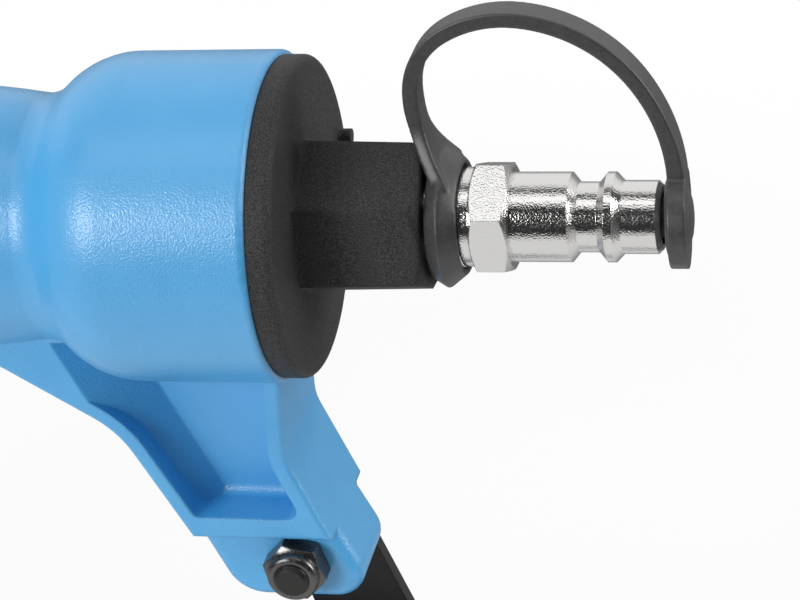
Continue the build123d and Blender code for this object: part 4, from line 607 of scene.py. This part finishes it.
taper_foot, taper_lean = 61.5 * MM, radians(70.1)
corner_cut, corner_lean = Vector((176.2, 0, 82.4)) * MM, radians(40)
hair = 0.001 * MM
plate = bmesh.new()
plate.from_mesh(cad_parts["hanger_plate"].data)
bmesh.ops.remove_doubles(plate, verts=plate.verts, dist=hair)


def trim_plate(geometry, point, lean):
    """Cuts the plate along a leaning plane, takes off what lies beyond it and closes the cut."""
    slope = (sin(lean), 0, cos(lean))
    bmesh.ops.bisect_plane(plate, geom=geometry, plane_co=point, plane_no=slope, clear_outer=True)
    open_edges = [edge for edge in plate.edges if edge.is_boundary]
    bmesh.ops.holes_fill(plate, edges=open_edges, sides=0)


whole_plate = plate.verts[:] + plate.edges[:] + plate.faces[:]
bmesh.ops.bisect_plane(plate, geom=whole_plate, plane_co=(0, 0, taper_foot), plane_no=(0, 0, 1))
pivot_x = max(vert.co.x for vert in plate.verts if abs(vert.co.z - taper_foot) < hair)
upper = [face for face in plate.faces if face.calc_center_median().z > taper_foot]
upper_edges = list(dict.fromkeys(edge for face in upper for edge in face.edges))
upper_verts = list(dict.fromkeys(vert for face in upper for vert in face.verts))
trim_plate(upper_verts + upper_edges + upper, (pivot_x, 0, taper_foot), taper_lean)
trim_plate(plate.verts[:] + plate.edges[:] + plate.faces[:], corner_cut, corner_lean)
bmesh.ops.recalc_face_normals(plate, faces=plate.faces)
plate_mesh = bpy.data.meshes.new("hanger_plate_painted")
plate.to_mesh(plate_mesh)
plate.free()
hanger = link_piece("hanger_plate_painted", plate_mesh, black_paint)
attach(hanger, "frame")
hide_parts("hanger_plate")

# Bolts, nut and screws
# Rolled steel fasteners with a black oxide finish and a film of oil. The hanger's bolt ends in a lock nut on
# the near side of the lug, and its head is tightened so that a flat, not a corner, comes to the lug's edge.
black_oxide = plain_finish("black_oxide", screen_colour(98, 97, 96), roughness=0.26, metallic=0.9)
oxide_bloom = speckle(black_oxide, per_metre=1200, detail=3)
scuffed(black_oxide, oxide_bloom, smooth=0.18, rough=0.36)
textured(black_oxide, oxide_bloom, strength=0.12, depth=0.05 * MM, edge=0.3 * MM)
dress(
    black_oxide,
    "hanger_nut",
    "hanger_screws",
    "cap_screws",
    "deflector_screw",
    "front_plate_screws",
    "nose_screws",
    "foot_guide_screws",
    "magazine_screws",
)
# Painted shade: the hanger bolt is the same black oxide steel as the nut, given a darker and rougher copy of
# its finish so that the bolt's end face reads dark.
bolt_shaded_oxide = plain_finish("black_oxide_painted_shade", screen_colour(58, 58, 57), roughness=0.38, metallic=0.8)
turned_end = speckle(bolt_shaded_oxide, per_metre=1600, detail=2)
scuffed(bolt_shaded_oxide, turned_end, smooth=0.3, rough=0.48)
textured(bolt_shaded_oxide, turned_end, strength=0.15, depth=0.05 * MM, edge=0.3 * MM)

bolt_turn = radians(30)
bolt_low, bolt_high = (Vector(corner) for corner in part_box("hanger_bolt"))
bolt_middle = Matrix.Translation((bolt_low + bolt_high) / 2)
bolt_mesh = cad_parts["hanger_bolt"].data.copy()
bolt_mesh.transform(bolt_middle @ Matrix.Rotation(bolt_turn, 4, "Y") @ bolt_middle.inverted())
bolt = link_piece("hanger_bolt_tightened", bolt_mesh, bolt_shaded_oxide)
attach(bolt, "frame")
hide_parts("hanger_bolt")


# Floor and room
# A round white table that fades into a white sweep behind it, as in a catalogue picture, with a dim room
# on the photographer's side. The table keeps the tool's soft shadow.
def worked_out(tree, operation, first, second):
    """One value from two; the larger of two yes-or-no values is yes where either is."""
    sum_node = tree.nodes.new("ShaderNodeMath")
    sum_node.operation = operation
    tree.links.new(first, sum_node.inputs[0])
    tree.links.new(second, sum_node.inputs[1])
    return sum_node.outputs[0]


def looking_rays(tree):
    """Rays that see the backdrop straight or through glass, and those together with its reflections."""
    rays = tree.nodes.new("ShaderNodeLightPath").outputs
    straight = worked_out(tree, "MAXIMUM", rays["Is Camera Ray"], rays["Is Transmission Ray"])
    return straight, worked_out(tree, "MAXIMUM", straight, rays["Is Glossy Ray"])


def distance_along(tree, place, direction):
    """How far a place lies along a direction."""
    shadow = tree.nodes.new("ShaderNodeVectorMath")
    shadow.operation = "DOT_PRODUCT"
    shadow.inputs[1].default_value = direction
    tree.links.new(place, shadow.inputs[0])
    return shadow.outputs["Value"]


def smooth_change(tree, value, low, high, before, after):
    """Goes smoothly from one level to another while a value runs from low to high."""
    change = tree.nodes.new("ShaderNodeMapRange")
    change.interpolation_type = "SMOOTHSTEP"
    change.inputs["From Min"].default_value = low
    change.inputs["From Max"].default_value = high
    change.inputs["To Min"].default_value = before
    change.inputs["To Max"].default_value = after
    tree.links.new(value, change.inputs["Value"])
    return change.outputs["Result"]


def show_mixed(tree, share, first, second, output):
    """Shows the first shader where share is none, and the second where it is whole."""
    mix = tree.nodes.new("ShaderNodeMixShader")
    tree.links.new(share, mix.inputs["Fac"])
    tree.links.new(first.outputs[0], mix.inputs[1])
    tree.links.new(second.outputs[0], mix.inputs[2])
    tree.links.new(mix.outputs[0], tree.nodes[output].inputs["Surface"])


table_middle, table_radius = Vector((110, 40, 0)) * MM, 330 * MM
fade_start, fade_end = 170 * MM, 320 * MM
dusk_start, dusk_end = -20 * MM, 120 * MM
white = (1, 1, 1, 1)
table_mesh = bpy.data.meshes.new("studio_table")
table = bmesh.new()
bmesh.ops.create_circle(table, cap_ends=True, segments=96, radius=table_radius)
table.to_mesh(table_mesh)
table.free()
table_white = plain_finish("table_white", (0.9, 0.9, 0.9), roughness=0.9)
table_tree = table_white.node_tree
glow = table_tree.nodes.new("ShaderNodeEmission")
glow.inputs["Color"].default_value = white
table_place = table_tree.nodes.new("ShaderNodeTexCoord").outputs["Object"]
reach = table_tree.nodes.new("ShaderNodeVectorMath")
reach.operation = "LENGTH"
table_tree.links.new(table_place, reach.inputs[0])
fade = smooth_change(table_tree, reach.outputs["Value"], fade_start, fade_end, before=0.86, after=1.0)
depth = distance_along(table_tree, table_place, (0, 1, 0))
dusk = smooth_change(table_tree, depth, dusk_start, dusk_end, before=0.85, after=0.15)
looked_at, watched = looking_rays(table_tree)
table_tree.links.new(worked_out(table_tree, "MAXIMUM", looked_at, dusk), glow.inputs["Strength"])
glow_share = worked_out(table_tree, "MULTIPLY", watched, fade)
show_mixed(table_tree, glow_share, shader_of(table_white), glow, "Material Output")
studio_table = link_piece("studio_table", table_mesh, table_white)
studio_table.location = table_middle

world = bpy.data.worlds.new("studio")
bpy.context.scene.world = world
world.use_nodes = True
sky = world.node_tree
fill = sky.nodes["Background"]
fill.inputs["Color"].default_value = white
sweep = sky.nodes.new("ShaderNodeBackground")
sweep.inputs["Color"].default_value = white
compass = sky.nodes.new("ShaderNodeTexCoord").outputs["Generated"]


def towards(direction, low, high, away, there):
    """Light level of the room, which changes smoothly as one turns towards a direction."""
    return smooth_change(sky, distance_along(sky, compass, direction), low, high, away, there)


seen, shown = looking_rays(sky)
from_above = towards((0, 0, 1), low=-0.05, high=0.22, away=0.28, there=1.0)
from_photographer = towards((0, -1, 0.5), low=0.12, high=0.3, away=1.0, there=0.03)
from_rear = towards((0.86, -0.5, 0), low=-0.1, high=0.8, away=0.64, there=0.12)
reflected = worked_out(sky, "MINIMUM", from_above, from_photographer)
sky.links.new(from_rear, fill.inputs["Strength"])
sky.links.new(worked_out(sky, "MAXIMUM", seen, reflected), sweep.inputs["Strength"])
show_mixed(sky, shown, fill, sweep, "World Output")

# Lamps
# Three soft boxes as a product photographer sets them: one overhead and a little in front, one in front on
# the left, and one behind on the right. All look at the tool's rear end.
aim = Vector((189.88, 0, 117.33)) * MM


def soft_box(name, place, width, height, watts):
    """Soft lamp that looks at the rear end of the tool."""
    lamp = bpy.data.lights.new(name, "AREA")
    lamp.shape = "RECTANGLE"
    lamp.size = width
    lamp.size_y = height
    lamp.energy = watts
    box = bpy.data.objects.new(name, lamp)
    box.location = place
    box.rotation_mode = "QUATERNION"
    box.rotation_quaternion = (aim - Vector(place)).to_track_quat("-Z", "Y")
    bpy.context.scene.collection.objects.link(box)


soft_box("overhead_box", (0.12, -0.38, 1.27), width=1.5, height=0.6, watts=3.8)
soft_box("front_box", (-0.61, -1.19, 0.59), width=0.5, height=0.6, watts=12.5)
soft_box("rear_box", (1.45, 0.2, 0.54), width=0.6, height=0.6, watts=10.5)

# Camera
# A close view from above and a little behind the tool's side, near enough for the plug's outer end, which
# comes towards the lens, to look larger, and tilted half a degree as the picture is.
azimuth, elevation, tilt = radians(14.65), radians(28.03), radians(0.507)
camera_distance = 383.2 * MM
frame_width = 108.1 * MM
back = Vector((sin(azimuth) * cos(elevation), -cos(azimuth) * cos(elevation), sin(elevation)))
upright = Vector((0, back.z, -back.y)).normalized()
level_right = upright.cross(back).normalized()
right = level_right * cos(tilt) + upright * sin(tilt)
up = upright * cos(tilt) - level_right * sin(tilt)
lens = bpy.data.cameras.new("camera")
lens.sensor_width = 36
lens.lens = lens.sensor_width * camera_distance / frame_width
lens.clip_start = 0.01
lens.clip_end = 50
camera = bpy.data.objects.new("camera", lens)
camera.matrix_world = Matrix(
    (
        (right.x, up.x, back.x, aim.x + back.x * camera_distance),
        (right.y, up.y, back.y, aim.y + back.y * camera_distance),
        (right.z, up.z, back.z, aim.z + back.z * camera_distance),
        (0, 0, 0, 1),
    )
)
bpy.context.scene.collection.objects.link(camera)
bpy.context.scene.camera = camera
bpy.context.scene.view_settings.view_transform = "Standard"
